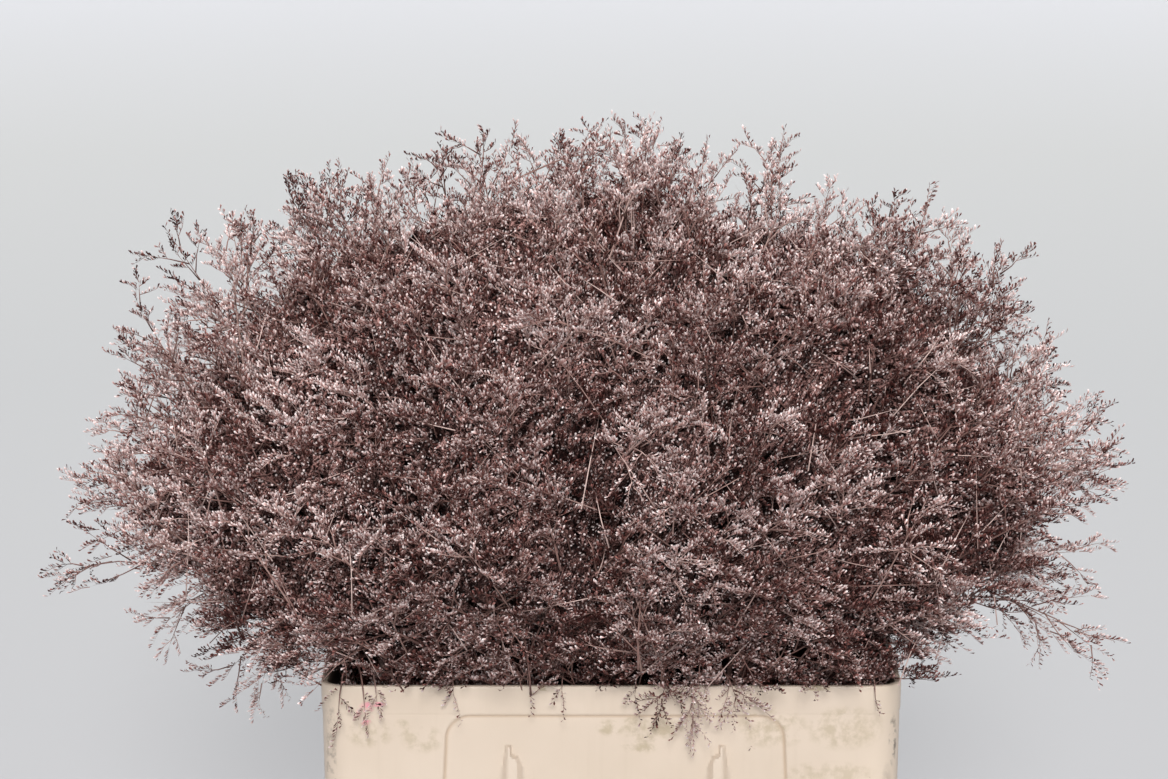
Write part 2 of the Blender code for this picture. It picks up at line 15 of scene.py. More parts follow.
import bpy
import numpy as np
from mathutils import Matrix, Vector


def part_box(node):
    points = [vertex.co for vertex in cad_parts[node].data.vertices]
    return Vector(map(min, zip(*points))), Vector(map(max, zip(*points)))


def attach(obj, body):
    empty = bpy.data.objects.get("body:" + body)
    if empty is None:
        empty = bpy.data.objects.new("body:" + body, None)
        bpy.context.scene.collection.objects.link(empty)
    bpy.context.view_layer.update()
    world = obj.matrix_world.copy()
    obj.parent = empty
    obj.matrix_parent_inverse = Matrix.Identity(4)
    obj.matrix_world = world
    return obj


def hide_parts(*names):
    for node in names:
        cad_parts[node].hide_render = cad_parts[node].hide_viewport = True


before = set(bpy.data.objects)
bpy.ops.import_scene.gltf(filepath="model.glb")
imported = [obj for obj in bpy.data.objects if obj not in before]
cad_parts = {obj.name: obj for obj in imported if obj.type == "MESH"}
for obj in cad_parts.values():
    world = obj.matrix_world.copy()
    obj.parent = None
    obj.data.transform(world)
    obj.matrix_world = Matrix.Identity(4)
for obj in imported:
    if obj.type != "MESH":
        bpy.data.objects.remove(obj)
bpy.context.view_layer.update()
BODY = "root"
MM = 0.001

# %% [markdown]
# ## Small tools
#
# Directions in this script are rows of three numbers in numpy arrays, so that one line turns or
# moves a hundred thousand florets at once. Four helpers do that: one gives directions the length
# 1, two find a direction square to another, and one draws random numbers from a fixed seed, so
# that every run grows the same plant. A fifth puts a finished mesh, lamp or camera in the scene.

# %% Helpers for directions, and for what goes into the scene
dice = np.random.default_rng(27)
UP = np.array((0.0, 0.0, 1.0))
NEARLY_UPRIGHT = 0.9
GOLDEN_ANGLE = math.pi * (3 - math.sqrt(5))


def unit(vectors):
    """Each vector divided by its own length."""
    return vectors / np.maximum(np.linalg.norm(vectors, axis=-1, keepdims=True), 1e-9)


def square_to(along, azimuth):
    """A unit vector square to each direction, turned round it by an angle from one fixed side."""
    steep = np.abs(along[..., 2:]) > NEARLY_UPRIGHT
    helper = np.where(steep, (1.0, 0.0, 0.0), (0.0, 0.0, 1.0))
    first = unit(np.cross(along, helper))
    second = np.cross(along, first)
    turn = np.asarray(azimuth)[..., None]
    return first * np.cos(turn) + second * np.sin(turn)


def nearest_side(along, wish):
    """The part of a wished direction that is square to each direction, made a unit vector."""
    wish = np.broadcast_to(wish, along.shape)
    return unit(wish - along * np.sum(wish * along, axis=-1, keepdims=True))


def between(low, high, shape):
    """Random numbers between two values, as many as the shape holds."""
    return dice.uniform(low, high, shape)


def placed(name, data):
    """A new object for a mesh, lamp or camera, linked to the scene."""
    made = bpy.data.objects.new(name, data)
    bpy.context.scene.collection.objects.link(made)
    return made


# %% [markdown]
# ## The mound
#
# The ten heads grow into one rounded mound that spreads past the tub's rim on every side. A
# superellipsoid fits it: |x/a|^p + |y/b|^p + |z/c|^p = 1, where p = 2 is an ellipsoid and a
# larger p is squarer. Below, the mound is cut by planes that flare out from the tub's mouth,
# because the stems fan out from there. Seen from the middle of the mouth, both surfaces have a
# plain formula for how far away they are, so no search is needed.

# %% Sizes of the mound, and how far away its surface is
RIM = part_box("container")[1].z
HEAD_SHIFT = -0.008
HEAD_HALVES = np.array((0.339, 0.288, 0.320))
HEAD_POWER = 2.35
MOUTH_HALVES = (0.188, 0.138)
MOUTH_FLARES = (1.45, 1.30)
MOUTH_MIDDLE = np.array((HEAD_SHIFT, 0.0, RIM))
FOLLOW = np.array((0.25, 0.25, 0.0))
FAN_DEPTH = 0.09


def mound_reach(ways):
    """Distance from the mouth's middle to the mound's surface along unit directions.

    On the superellipsoid it is (|x/a|^p + |y/b|^p + |z/c|^p)^(-1/p). On a flaring plane, where
    x = half + flare z, it is half / (x - flare z). The nearer of them all is the surface.
    """
    shares = np.abs(ways) / HEAD_HALVES
    reach = np.sum(shares**HEAD_POWER, axis=-1) ** (-1 / HEAD_POWER)
    for axis, half, flare in zip((0, 1), MOUTH_HALVES, MOUTH_FLARES):
        closing = np.abs(ways[..., axis]) - flare * ways[..., 2]
        reach = np.minimum(reach, half / np.maximum(closing, 1e-6))
    return reach


def depth_below(points):
    """How far points lie inside the mound, along the line to the mouth's middle."""
    reach = points - MOUTH_MIDDLE
    return mound_reach(unit(reach)) - np.linalg.norm(reach, axis=-1)


def growing_way(points):
    """The way a twig grows at a point: away from a spot below the mouth that follows it a little."""
    return unit(points - points * FOLLOW - (RIM - FAN_DEPTH) * UP)


# %% [markdown]
# The mound isn't smooth: heads of different ages leave lumps of a hand's width and hollows between
# them, and a finer crumple of a finger's width lies over those. A sum of plane waves in random
# directions gives such a field for any point in space, so the branches, the thatch behind them
# and their tints can all follow the same lumps.

# %% Lumps and hollows as fields in space
FIELD_LIMITS = (-1.2, 1)


def wave_field(spans, count):
    """A function of points: the sum of sin(way . point + start) over waves / sqrt(waves), clipped."""
    ways = unit(dice.normal(0, 1, (count, 3))) * 2 * math.pi / between(*spans, (count, 1))
    starts = between(0, 2 * math.pi, count)
    scale = 1 / math.sqrt(count)
    return lambda points: np.clip(np.sin(points @ ways.T + starts).sum(-1) * scale, *FIELD_LIMITS)


lumps = wave_field((0.045, 0.140), 16)
crumples = wave_field((0.011, 0.026), 24)

# %% [markdown]
# Flowering branches fill the mound evenly. Points drawn at random would leave bald spots and
# crowds, so each next point is the candidate that is furthest from all the points taken so far.
# The bunches were set out for the front, so that side has some more.

# %% Spread points evenly over the mound
CANDIDATES = 9000
LOWEST_TOP = 0.006
FRONT_REACH = 0.02
PANICLES = 500
FRONT_PANICLES = 140


def spread_out(candidates, count):
    """Indexes of count candidates, each the one furthest from those before it."""
    taken = [0]
    gap = np.linalg.norm(candidates - candidates[0], axis=1)
    while len(taken) < count:
        furthest = int(np.argmax(gap))
        taken.append(furthest)
        gap = np.minimum(gap, np.linalg.norm(candidates - candidates[furthest], axis=1))
    return np.array(taken)


def mound_points(count, furthest_back=1.0):
    """Points spread over the mound, down to its underside, up to a distance back.

    The candidates lie on a spiral: heights at even steps, each turned on by the golden angle.
    """
    index = np.arange(CANDIDATES)
    height = 1 - (2 * index + 1) / CANDIDATES
    across, turn = np.sqrt(1 - height**2), index * GOLDEN_ANGLE
    ways = np.stack((across * np.cos(turn), across * np.sin(turn), height), 1)
    points = MOUTH_MIDDLE + ways * mound_reach(ways)[:, None]
    points = points[(points[:, 2] > RIM + LOWEST_TOP) & (points[:, 1] < furthest_back)]
    return points[spread_out(points, count)]


tops = np.concatenate((mound_points(PANICLES), mound_points(FRONT_PANICLES, FRONT_REACH)))
print("flowering branches:", len(tops))

# %% [markdown]
# ## Twigs as curves
#
# A twig is a root, a heading, a bend and a length. Its point at a share t of the way is
# root + length (heading t + bend t^2), a parabola, which is how a thin stalk arches under its own
# florets. Twigs of one kind are kept together as whole arrays. `fork` grows children from given
# shares of each parent, so that axis, branch and spike are the same step three times.

# %% A kind of twig, and how one forks into the next
@dataclass
class Twigs:
    root: np.ndarray
    heading: np.ndarray
    bend: np.ndarray
    length: np.ndarray
    bunch: np.ndarray
    tint: np.ndarray

    def at(self, shares):
        """Points root + length (heading t + bend t^2) for the shares t of each twig."""
        t = shares[..., None]
        way = self.heading[:, None] * t + self.bend[:, None] * t**2
        return self.root[:, None] + self.length[:, None, None] * way

    def ends(self):
        """Foot and tip of each twig."""
        return self.at(np.tile((0.0, 1.0), (len(self.length), 1)))

    def along(self, shares):
        """Directions heading + 2 bend t, as unit vectors."""
        return unit(self.heading[:, None] + 2 * self.bend[:, None] * shares[..., None])

    def chosen(self, mask):
        return Twigs(*(getattr(self, name)[mask] for name in self.__dataclass_fields__))


def fork(parents, shares, side, spread, length, bend, tint_spread):
    """Children at shares of each parent, leaning off by the spread angle towards side."""
    count = shares.shape[1]
    along = parents.along(shares)
    spread = np.broadcast_to(spread, shares.shape)[..., None]
    heading = unit(along * np.cos(spread) + side * np.sin(spread))
    tint = parents.tint[:, None] + between(-tint_spread, tint_spread, shares.shape)
    return Twigs(
        parents.at(shares).reshape(-1, 3),
        heading.reshape(-1, 3),
        np.broadcast_to(bend, heading.shape).reshape(-1, 3),
        np.broadcast_to(length, shares.shape).reshape(-1),
        np.repeat(parents.bunch, count),
        tint.reshape(-1),
    )


def joined(*groups):
    """Several kinds of twigs as one."""
    names = Twigs.__dataclass_fields__
    return Twigs(*(np.concatenate([getattr(g, name) for g in groups]) for name in names))


# %% [markdown]
# ## Whose twig is it
#
# The mound is shared out between the ten bunches by leaning planes, five columns by two rows, as
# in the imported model. A branch belongs to the bunch in whose share its tip ends.

# %% Share out the branches between the bunches
WAIST_HEIGHT = 0.200
COLUMN_EDGES = ((-0.090, -32.0), (-0.034, -12.0), (0.034, 12.0), (0.090, 32.0))
BUNCHES = [f"bunch_{row}_{column}" for row in ("front", "back") for column in range(1, 6)]


def bunch_of(points):
    """Index of the bunch at each point: columns from the left, front row first."""
    column = np.zeros(len(points), int)
    for across, lean in COLUMN_EDGES:
        edge = across + (points[:, 2] - WAIST_HEIGHT) * math.tan(math.radians(lean))
        column += points[:, 0] > edge
    return column + 5 * (points[:, 1] > 0)


# %% [markdown]
# Nothing may grow through the tub's wall. A twig stays if its foot and its tip are above the rim,
# or well inside the mouth, or, for the sprigs that hang, well outside the tub. Twigs that reach
# further forward or back than the heads do are cut as well. What would grow on a twig that goes is
# never grown, so that nothing hangs in the air.

# %% Twigs that have room
WALL_ROOM = 0.003
RIM_WALL = 0.0048
DEEPEST = 0.310
tub_low, tub_high = (np.array(corner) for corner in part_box("container"))
TUB_HALVES = (tub_high - tub_low)[:2] / 2


def has_room(twigs, may_hang=True):
    """True for twigs whose foot and tip are clear of the wall, and not too far forward or back."""
    points = twigs.ends()
    level = np.abs(points[..., :2])
    outside = (level > TUB_HALVES + WALL_ROOM).any(-1)
    within = (level < TUB_HALVES - RIM_WALL - WALL_ROOM).all(-1)
    above = points[..., 2] > RIM + WALL_ROOM
    hangs = outside.all(1) & may_hang
    near = np.abs(points[..., 1]) < DEEPEST
    return ((above | within | hangs[:, None]) & near).all(1)


# %% [markdown]
# ## Flowering branches
#
# The common statice of dried bunches carries its flowers in a loose, flat-topped head: the lower
# side branches are the longest, so that all their tips end at about the same level. Each side
# branch carries short arching spikes on both sides, and each spike has its florets in close rows
# along its upper side, like the teeth of a comb. Branch tips stand at different depths, some
# proud of the mound and some sunk in it, which gives the lumps and the dark gaps. Branches on the
# lumps are painted paler and those in the hollows darker, as painted light and shade, and low
# ones are painted darker, as painted shade.

# %% Grow axes, side branches and spikes
AXIS_LENGTH = 0.066
AXIS_SAG = 0.04
TIP_DEPTH = 0.026
TIP_SCATTER = 0.009
LUMP_RISE = 0.017
UNDERSIDE_INSETS = (0.076, 0.122)
MOUTH_INSET = 0.020
UNDERSIDE_HEIGHTS = (0.130, 0.165)
LEAN_SCATTER = (-0.15, 0.15)
BRANCHES, BRANCH_SAG, BRANCH_TINT = 7, 0.08, 0.10
BRANCH_LEAN, BRANCH_LEAN_DROP = 62, 30
FULL_SHARE, LEAST_SHARE = 1.05, 0.12
SPIKES, SPIKE_SAG, SPIKE_TINT = 8, 0.12, 0.16
SPIKE_LEAN, LAST_SPIKE_LEAN = 64, 0.45
SPIKE_TURNS = (-0.9, 0.9)
SPIKE_LENGTHS = (0.009, 0.017)
TINT_POWER = 1.35
# Painted light and shade on the lumps and hollows, and painted shade low down
BRANCH_LUMP_PAINTED_SHADING = 0.16
LOW_PAINTED_SHADE = ((0.0, 0.52), (0.24, 0.98))


def axes_to(tips, length, wander, tints):
    """Main stems that end at the given tips and start one length further inside."""
    heading = unit(growing_way(tips) + dice.normal(0, wander, tips.shape))
    bend = dice.normal(0, 0.05, tips.shape) - AXIS_SAG * UP
    root = tips - length[:, None] * (heading + bend)
    return Twigs(root, heading, bend, length, bunch_of(tips), tints)


def side_branches(axes, count, first, last, fullness):
    """Side branches round each axis by the golden angle; lower ones are longer and lean out more.

    The lean is 62 - 30 share degrees, and the length is that of the axis times
    (1.05 - share) fullness + 0.12, so that all the tips end at about one level.
    """
    shares = np.linspace(first, last, count) + between(-0.03, 0.03, (len(axes.length), count))
    turn = np.arange(count) * GOLDEN_ANGLE + between(0, 2 * math.pi, (len(axes.length), 1))
    side = square_to(axes.along(shares), turn)
    spread = np.radians(BRANCH_LEAN - BRANCH_LEAN_DROP * shares) + between(*LEAN_SCATTER, shares.shape)
    share = (FULL_SHARE - shares) * fullness + LEAST_SHARE
    length = axes.length[:, None] * share * between(0.8, 1.15, shares.shape)
    bend = axes.along(shares) * 0.12 + dice.normal(0, 0.15, side.shape) - BRANCH_SAG * UP
    return fork(axes, shares, side, spread, length, bend, BRANCH_TINT)


def side_spikes(branches, count, first):
    """Spikes to both sides of each branch, arching over; the last one carries the branch on.

    They lean out by 64 degrees at first and by less than half of that at the branch's end.
    """
    shares = np.linspace(first, 1, count) + between(-0.04, 0.0, (len(branches.length), count))
    along = branches.along(shares)
    hand = np.where(np.arange(count) % 2 == 0, 0.0, math.pi)
    turn = hand + between(*SPIKE_TURNS, shares.shape)
    lean = np.radians(SPIKE_LEAN) * np.linspace(1, LAST_SPIKE_LEAN, count)
    spread = lean + between(*LEAN_SCATTER, shares.shape)
    length = between(*SPIKE_LENGTHS, shares.shape)
    side = square_to(along, turn)
    bend = along * 0.15 - side * 0.10 + dice.normal(0, 0.16, side.shape) - SPIKE_SAG * UP
    return fork(branches, shares, side, spread, length, bend, SPIKE_TINT)


def underside_inset(points):
    """How much deeper everything lies low down, towards the mouth: most at the right side.

    It is (1 - height / whole height)^2 times an inset that grows from the middle to the sides.
    """
    left = points[..., 0] < 0
    low = np.clip(1 - (points[..., 2] - RIM) / np.where(left, *UNDERSIDE_HEIGHTS), 0, 1) ** 2
    aside = np.clip(np.abs(points[..., 0]) / MOUTH_HALVES[0], 0, 1)
    return low * (MOUTH_INSET + aside * (np.where(left, *UNDERSIDE_INSETS) - MOUTH_INSET))


def depth_of_tips(points):
    """How deep branch tips lie: less on lumps, more in hollows and on the underside."""
    scatter = between(-TIP_SCATTER, TIP_SCATTER, len(points))
    return TIP_DEPTH - LUMP_RISE * lumps(points) + underside_inset(points) + scatter


tips = tops - growing_way(tops) * depth_of_tips(tops)[:, None]
# Painted light and shade: tints rise on the lumps, and fall in the hollows and low down.
low_painted_shade = np.interp(tops[:, 2] - RIM, *zip(*LOW_PAINTED_SHADE))
tints = (between(0.0, 1.0, len(tops)) ** TINT_POWER + BRANCH_LUMP_PAINTED_SHADING * lumps(tops)) * low_painted_shade
axes = axes_to(tips, AXIS_LENGTH * between(0.85, 1.1, len(tops)), wander=0.30, tints=tints)
axes = axes.chosen(has_room(axes, may_hang=False))
branches = side_branches(axes, BRANCHES, first=0.22, last=0.96, fullness=0.82)
branches = branches.chosen(has_room(branches, may_hang=False))
spikes = side_spikes(branches, SPIKES, first=0.30)
spikes = spikes.chosen(has_room(spikes, may_hang=False))
print("side branches:", len(branches.length), "spikes:", len(spikes.length))

# %% [markdown]
# ## Long sprays
#
# Single sprays break the outline, and they make it look alive. They stand where the photographed
# bunch has them: upright along the top, level and arching at the sides, and drooping low down.
# Each is one slender axis with few side branches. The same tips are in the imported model, so the
# coarse part and this one have one outline. An arch of height h over a chord is the parabola
# whose bend is -4 h / length.

# %% Long sprays: across, above the rim, arch
LONG_LENGTH = 0.130
LONG_OFFSET = 0.034
LONG_INSET = 0.022
LONG_HEARTS = ((0.0, 0.14), (0.060, -0.090))
LONG_TIPS = np.array((
    (0.012, 0.381, 0.000), (0.026, 0.376, 0.000), (-0.021, 0.366, 0.002), (-0.056, 0.362, 0.002),
    (-0.104, 0.330, 0.000), (-0.147, 0.340, 0.002), (-0.199, 0.342, 0.002), (-0.230, 0.330, 0.000),
    (-0.284, 0.306, -0.004), (-0.321, 0.297, 0.002), (-0.344, 0.263, -0.012), (-0.354, 0.218, -0.006),
    (-0.375, 0.135, -0.004), (-0.392, 0.110, 0.006), (-0.399, 0.066, 0.016), (-0.347, 0.004, 0.024),
    (-0.296, -0.016, 0.024), (0.044, 0.356, 0.000), (0.072, 0.357, 0.000), (0.119, 0.343, 0.002),
    (0.157, 0.335, 0.002), (0.207, 0.318, 0.004), (0.229, 0.320, 0.016), (0.262, 0.275, 0.002),
    (0.285, 0.290, -0.004), (0.323, 0.203, 0.002), (0.354, 0.175, 0.002), (0.370, 0.130, 0.004),
    (0.350, 0.080, 0.012), (0.332, 0.045, 0.012), (0.368, 0.001, 0.022), (0.344, -0.004, 0.024),
))


def long_axes():
    """Axes to the long tips, raised in the middle by their arch; low ones come from higher up."""
    behind = np.where(np.arange(len(LONG_TIPS)) % 2 == 0, -LONG_OFFSET, LONG_OFFSET)
    ends = np.stack((LONG_TIPS[:, 0], behind, RIM + LONG_TIPS[:, 1]), 1)
    ends = ends - LONG_INSET * growing_way(ends)
    length = np.full(len(ends), LONG_LENGTH)
    heart = np.interp(LONG_TIPS[:, 1], *LONG_HEARTS)
    chord = unit(ends - ends * FOLLOW - (RIM + heart)[:, None] * UP)
    bend = -4 * LONG_TIPS[:, 2:] * UP / LONG_LENGTH
    root = ends - LONG_LENGTH * chord
    return Twigs(root, chord - bend, bend, length, bunch_of(ends), between(0.15, 0.65, len(ends)))


long_ones = long_axes()
long_branches = side_branches(long_ones, 6, first=0.52, last=0.95, fullness=0.36)
long_branches = long_branches.chosen(has_room(long_branches))
long_spikes = joined(side_spikes(long_branches, 4, first=0.58), side_spikes(long_ones, 3, first=0.86))
print("long sprays:", len(long_ones.length), "with spikes:", len(long_spikes.length))

# %% [markdown]
# Slighter strays stand out all round the mound, so that its edge is loose from every side, and
# sprigs lean out over the tub's rim. A few hang down in front of the tub and beside it, where the
# photograph has them. A hanging sprig leaves its root outwards and a little up, and its bend is
# whatever brings its end to the tip: bend = (tip - root) / length - heading.

# %% Strays, sprigs over the rim, and hanging sprigs: root and tip above the rim
STRAYS = 210
STRAY_LENGTH = 0.095
STRAY_RISES = (0.006, 0.036)
STRAY_SHARES = (1.0, 0.3, 1.0)
STRAY_HEIGHT = 0.08
SLACK = 1.1
RIM_SPRIGS = 9
SPRIG_ROOM, SPRIG_FAN, SPRIG_ROOT_IN = 0.93, 0.3, 0.030
SPRIG_ROOT_HEIGHTS, SPRIG_TIP_HEIGHTS, SPRIG_TIPS_OUT = (0.004, 0.014), (0.010, 0.034), (0.006, 0.030)
HANGING = np.array((
    (0.052, -0.130, 0.012, 0.056, -0.170, -0.020), (0.046, -0.130, 0.012, 0.034, -0.168, -0.009),
    (0.064, -0.130, 0.012, 0.086, -0.168, -0.006), (-0.200, -0.085, 0.036, -0.244, -0.104, -0.017),
))
SMALL_HANGING = np.array((
    (-0.180, -0.130, 0.010, -0.187, -0.166, -0.022), (-0.176, -0.130, 0.010, -0.168, -0.166, -0.018),
    (-0.166, -0.131, 0.008, -0.160, -0.164, -0.010), (-0.109, -0.138, 0.008, -0.108, -0.160, -0.004),
    (-0.058, -0.138, 0.008, -0.057, -0.159, 0.001), (-0.032, -0.138, 0.008, -0.034, -0.160, -0.002),
    (0.020, -0.136, 0.008, 0.016, -0.161, -0.004), (0.179, -0.134, 0.008, 0.181, -0.160, -0.013),
))


def hanging_axes(ends, rise):
    """Axes from roots to tips given above the rim, heading out and up by rise, then bending down."""
    root, tip = ends[:, :3] + RIM * UP, ends[:, 3:] + RIM * UP
    length = SLACK * np.linalg.norm(tip - root, axis=1)
    level = (tip - root) * (1, 1, 0)
    heading = unit(unit(level) + rise * UP)
    bend = (tip - root) / length[:, None] - heading
    return Twigs(root, heading, bend, length, bunch_of(root), between(0.3, 0.7, len(ends)))


def rim_ends(count):
    """Roots inside the tub's mouth and tips over its rim, at even steps along back and sides.

    The whole part of along is the side, 1 back, 2 right and 3 left, and the rest the place on it.
    """
    along = 1 + (np.arange(count) + between(0.1, 0.9, count)) / count * 3
    side = along.astype(int)
    share = (2 * (along - side) - 1) * SPRIG_ROOM
    hand = np.where(side % 2 == 0, 1, -1)
    across = side < 2
    x = np.where(across, share, hand) * TUB_HALVES[0]
    y = np.where(across, -hand, share) * TUB_HALVES[1]
    level = np.stack((x, y, 0 * x), 1)
    fanned = SPRIG_FAN * share
    way = np.stack((np.where(across, fanned, hand), np.where(across, -hand, fanned), 0 * x), 1)
    root = level - way * SPRIG_ROOT_IN + between(*SPRIG_ROOT_HEIGHTS, (count, 1)) * UP
    tip = level + way * between(*SPRIG_TIPS_OUT, (count, 1)) + between(*SPRIG_TIP_HEIGHTS, (count, 1)) * UP
    return np.concatenate((root, tip), 1)


stray_tops = mound_points(STRAYS + PANICLES)[-STRAYS:]
stray_tops = stray_tops[stray_tops[:, 2] > RIM + STRAY_HEIGHT]
stray_rise = between(*STRAY_RISES, (len(stray_tops), 1)) * STRAY_SHARES
stray_tips = stray_tops + growing_way(stray_tops) * stray_rise
stray_tints = between(0.15, 0.80, len(stray_tips))
strays = axes_to(stray_tips, np.full(len(stray_tips), STRAY_LENGTH), wander=0.25, tints=stray_tints)
strays = strays.chosen(has_room(strays, may_hang=False))
stray_branches = side_branches(strays, 5, first=0.60, last=0.94, fullness=0.50)
hanging = joined(hanging_axes(HANGING, rise=0.45), hanging_axes(rim_ends(RIM_SPRIGS), rise=0.35))
hanging_branches = side_branches(hanging, 6, first=0.42, last=0.95, fullness=0.36)
small_hanging = hanging_axes(SMALL_HANGING, rise=0.45)
extra_axes = joined(strays, hanging, small_hanging)
extra_branches = joined(stray_branches, hanging_branches)
extra_branches = extra_branches.chosen(has_room(extra_branches))
extra_spikes = joined(side_spikes(extra_branches, 4, first=0.58), side_spikes(extra_axes, 4, first=0.70))
print("strays:", len(strays.length), "sprigs at the rim:", len(hanging.length) + len(small_hanging.length))

# %% [markdown]
# Here and there a bare old stalk lies across the flowers. They are pale, thin and nearly
# straight, and they cross the surface at a slant.

# %% Bare stalks across the flowers
BARE_STALKS = 600
BARE_LENGTHS = (0.030, 0.085)
BARE_DEPTHS = (0.008, 0.022)
BARE_HEIGHT = 0.012


def bare_stalks(count):
    """Slanting stalks whose middles are at the mound's surface."""
    middle = mound_points(count)
    grow = growing_way(middle)
    heading = unit(square_to(grow, between(0, 2 * math.pi, count)) + grow * between(0.2, 1.1, (count, 1)))
    length = between(*BARE_LENGTHS, count)
    depth = between(*BARE_DEPTHS, count) + underside_inset(middle)
    root = middle - grow * depth[:, None] - heading * length[:, None] / 2
    bend = dice.normal(0, 0.05, heading.shape)
    return Twigs(root, heading, bend, length, bunch_of(middle), between(0.5, 1.2, count))


bare = bare_stalks(BARE_STALKS)
bare = bare.chosen((bare.ends()[..., 2] > RIM + BARE_HEIGHT).all(1))
print("bare stalks:", len(bare.length))

# %% [markdown]
# Spikes so deep that the thatch behind the flowers hides them are left out, which keeps the
# pieces light. Where the fine crumple is lowest no spikes are kept below the surface either:
# these are the dark gaps, a finger's width across, in which the bare stems show.

# %% Keep the spikes that show
THATCH_DEPTH = 0.034
THATCH_RELIEF = 0.015
THATCH_FULL_REACH = 0.30
THATCH_LEAST = 0.4
THATCH_MOST = 0.5
GAP_LEVEL = -0.72
GAP_DEPTH = 0.004


def thatch_depth(points):
    """Depth of the thatch: less under lumps and near the mouth, and more on the underside.

    It is (depth - relief lumps) times a share of the reach, plus the underside's inset.
    """
    reach = mound_reach(unit(points - MOUTH_MIDDLE))
    share = np.clip(reach / THATCH_FULL_REACH, THATCH_LEAST, 1)
    depth = (THATCH_DEPTH - THATCH_RELIEF * lumps(points)) * share
    return np.minimum(depth + underside_inset(points), THATCH_MOST * reach)


all_axes = joined(axes, long_ones, extra_axes)
all_branches = joined(branches, long_branches, extra_branches)
all_spikes = joined(spikes, long_spikes, extra_spikes)
all_spikes = all_spikes.chosen(has_room(all_spikes))
spike_tips = all_spikes.ends()[:, 1]
tip_depths = depth_below(spike_tips)
in_gap = (crumples(spike_tips) < GAP_LEVEL) & (tip_depths > GAP_DEPTH)
all_spikes = all_spikes.chosen((tip_depths < thatch_depth(spike_tips)) & ~in_gap)
print("spikes kept:", len(all_spikes.length))

# %% [markdown]
# ## Cut stems
#
# Inside the tub the bunches are bare stems, cut level and standing on its floor. They lean
# together at the mouth and part again above it. A parabola goes through three points: with the
# middle one at a share t of the way, bend = (middle - root - t (top - root)) / (length (t^2 - t)).

# %% Stems from the tub's floor into the mound
STEMS = 4
STEM_FOOT = 0.0038
STEM_MIDDLE = 0.78
STEM_WAIST, STEM_TOP = -0.030, 0.050
STEM_FANS = (-0.0065, 0.0065, -0.0022, 0.0022)
STEM_BACKS = (0.050, 0.064, 0.078, 0.092)
STEM_SPREADS = (1.15, 1.1)
FLOOR_BACKS = (0.030, 0.105)
FLOOR_EDGES = np.array((-0.172, -0.090, -0.034, 0.034, 0.090, 0.172))
MOUTH_PLACES = np.array((-0.150, -0.082, 0.0, 0.082, 0.150))


def cut_stems():
    """Four stems a bunch, from its share of the floor through the mouth into its head."""
    bunch = np.repeat(np.arange(len(BUNCHES)), STEMS)
    column, row = bunch % 5, np.where(bunch < 5, -1, 1)
    share = np.tile((np.arange(STEMS) + 0.5) / STEMS, len(BUNCHES))
    fan, back = np.tile(STEM_FANS, len(BUNCHES)), row * np.tile(STEM_BACKS, len(BUNCHES))
    foot_x = FLOOR_EDGES[column] + share * (FLOOR_EDGES[column + 1] - FLOOR_EDGES[column])
    foot_y = row * (FLOOR_BACKS[0] + (FLOOR_BACKS[1] - FLOOR_BACKS[0]) * share[::-1])
    foot = np.stack((foot_x, foot_y, np.full(len(row), STEM_FOOT)), 1)
    middle = np.stack((MOUTH_PLACES[column] + fan, back, np.full(len(row), RIM + STEM_WAIST)), 1)
    spread_x, spread_y = STEM_SPREADS
    top_x = MOUTH_PLACES[column] * spread_x + fan
    top = np.stack((top_x, back * spread_y, np.full(len(row), RIM + STEM_TOP)), 1)
    length = np.linalg.norm(top - foot, axis=1)
    whole, part = (top - foot) / length[:, None], (middle - foot) / length[:, None]
    bend = (part - STEM_MIDDLE * whole) / (STEM_MIDDLE**2 - STEM_MIDDLE)
    return Twigs(foot, whole - bend, bend, length, bunch, between(0.2, 0.8, len(row)))


stems = cut_stems()
print("cut stems:", len(stems.length))

# %% [markdown]
# ## Thin stalks
#
# A stalk is a three-sided tube that thins to a point. Three sides are enough at a millimetre
# across, and they keep thousands of stalks light. The rings of all the stalks of one kind are
# worked out at once: centre + radius (side cos a + other side sin a).

# %% Tubes for all the stalks of a kind
def tube_pattern(rings, sides):
    """Triangles of one tube: a closed foot, bands between rings, and a cone to the tip."""
    side = np.arange(sides)
    after = (side + 1) % sides
    foot = [(0, i + 1, i) for i in range(1, sides - 1)]
    bands = []
    for ring in range(rings - 1):
        low, high = ring * sides, (ring + 1) * sides
        bands += [*zip(low + side, low + after, high + after), *zip(low + side, high + after, high + side)]
    last = (rings - 1) * sides
    cone = [*zip(last + side, last + after, np.full(sides, rings * sides))]
    return np.array(foot + bands + cone)


def tubes(twigs, foot_radius, tip_radius, rings, sides=3):
    """Corners, triangles, and for each corner its bunch and its two looks: tip share and tint."""
    shares = np.tile(np.linspace(0, 1, rings + 1), (len(twigs.length), 1))
    centres, along = twigs.at(shares), twigs.along(shares)
    first = nearest_side(along, square_to(twigs.heading, np.zeros(len(twigs.length)))[:, None])
    second = np.cross(along, first)
    radius = foot_radius + (tip_radius - foot_radius) * shares[:, :-1, None, None]
    angles = (2 * math.pi * np.arange(sides) / sides)[:, None]
    around = first[:, :-1, None] * np.cos(angles) + second[:, :-1, None] * np.sin(angles)
    walls = (centres[:, :-1, None] + radius * around).reshape(len(shares), -1, 3)
    corners = np.concatenate((walls, centres[:, -1:]), axis=1)
    tip_share = np.concatenate((np.repeat(shares[:, :-1], sides, 1), shares[:, -1:]), axis=1)
    return group(corners, tube_pattern(rings, sides), tip_share, twigs)


def group(corners, pattern, tip_share, twigs):
    """Numbers the corners of many like shapes on, and gives each its bunch and tint."""
    count, each = corners.shape[:2]
    starts = np.arange(count)[:, None, None] * each
    return {
        "corners": corners.reshape(-1, 3),
        "faces": (pattern[None] + starts).reshape(-1, 3),
        "tip": tip_share.reshape(-1),
        "tint": np.repeat(twigs.tint, each),
        "bunch": np.repeat(twigs.bunch, len(pattern)),
    }


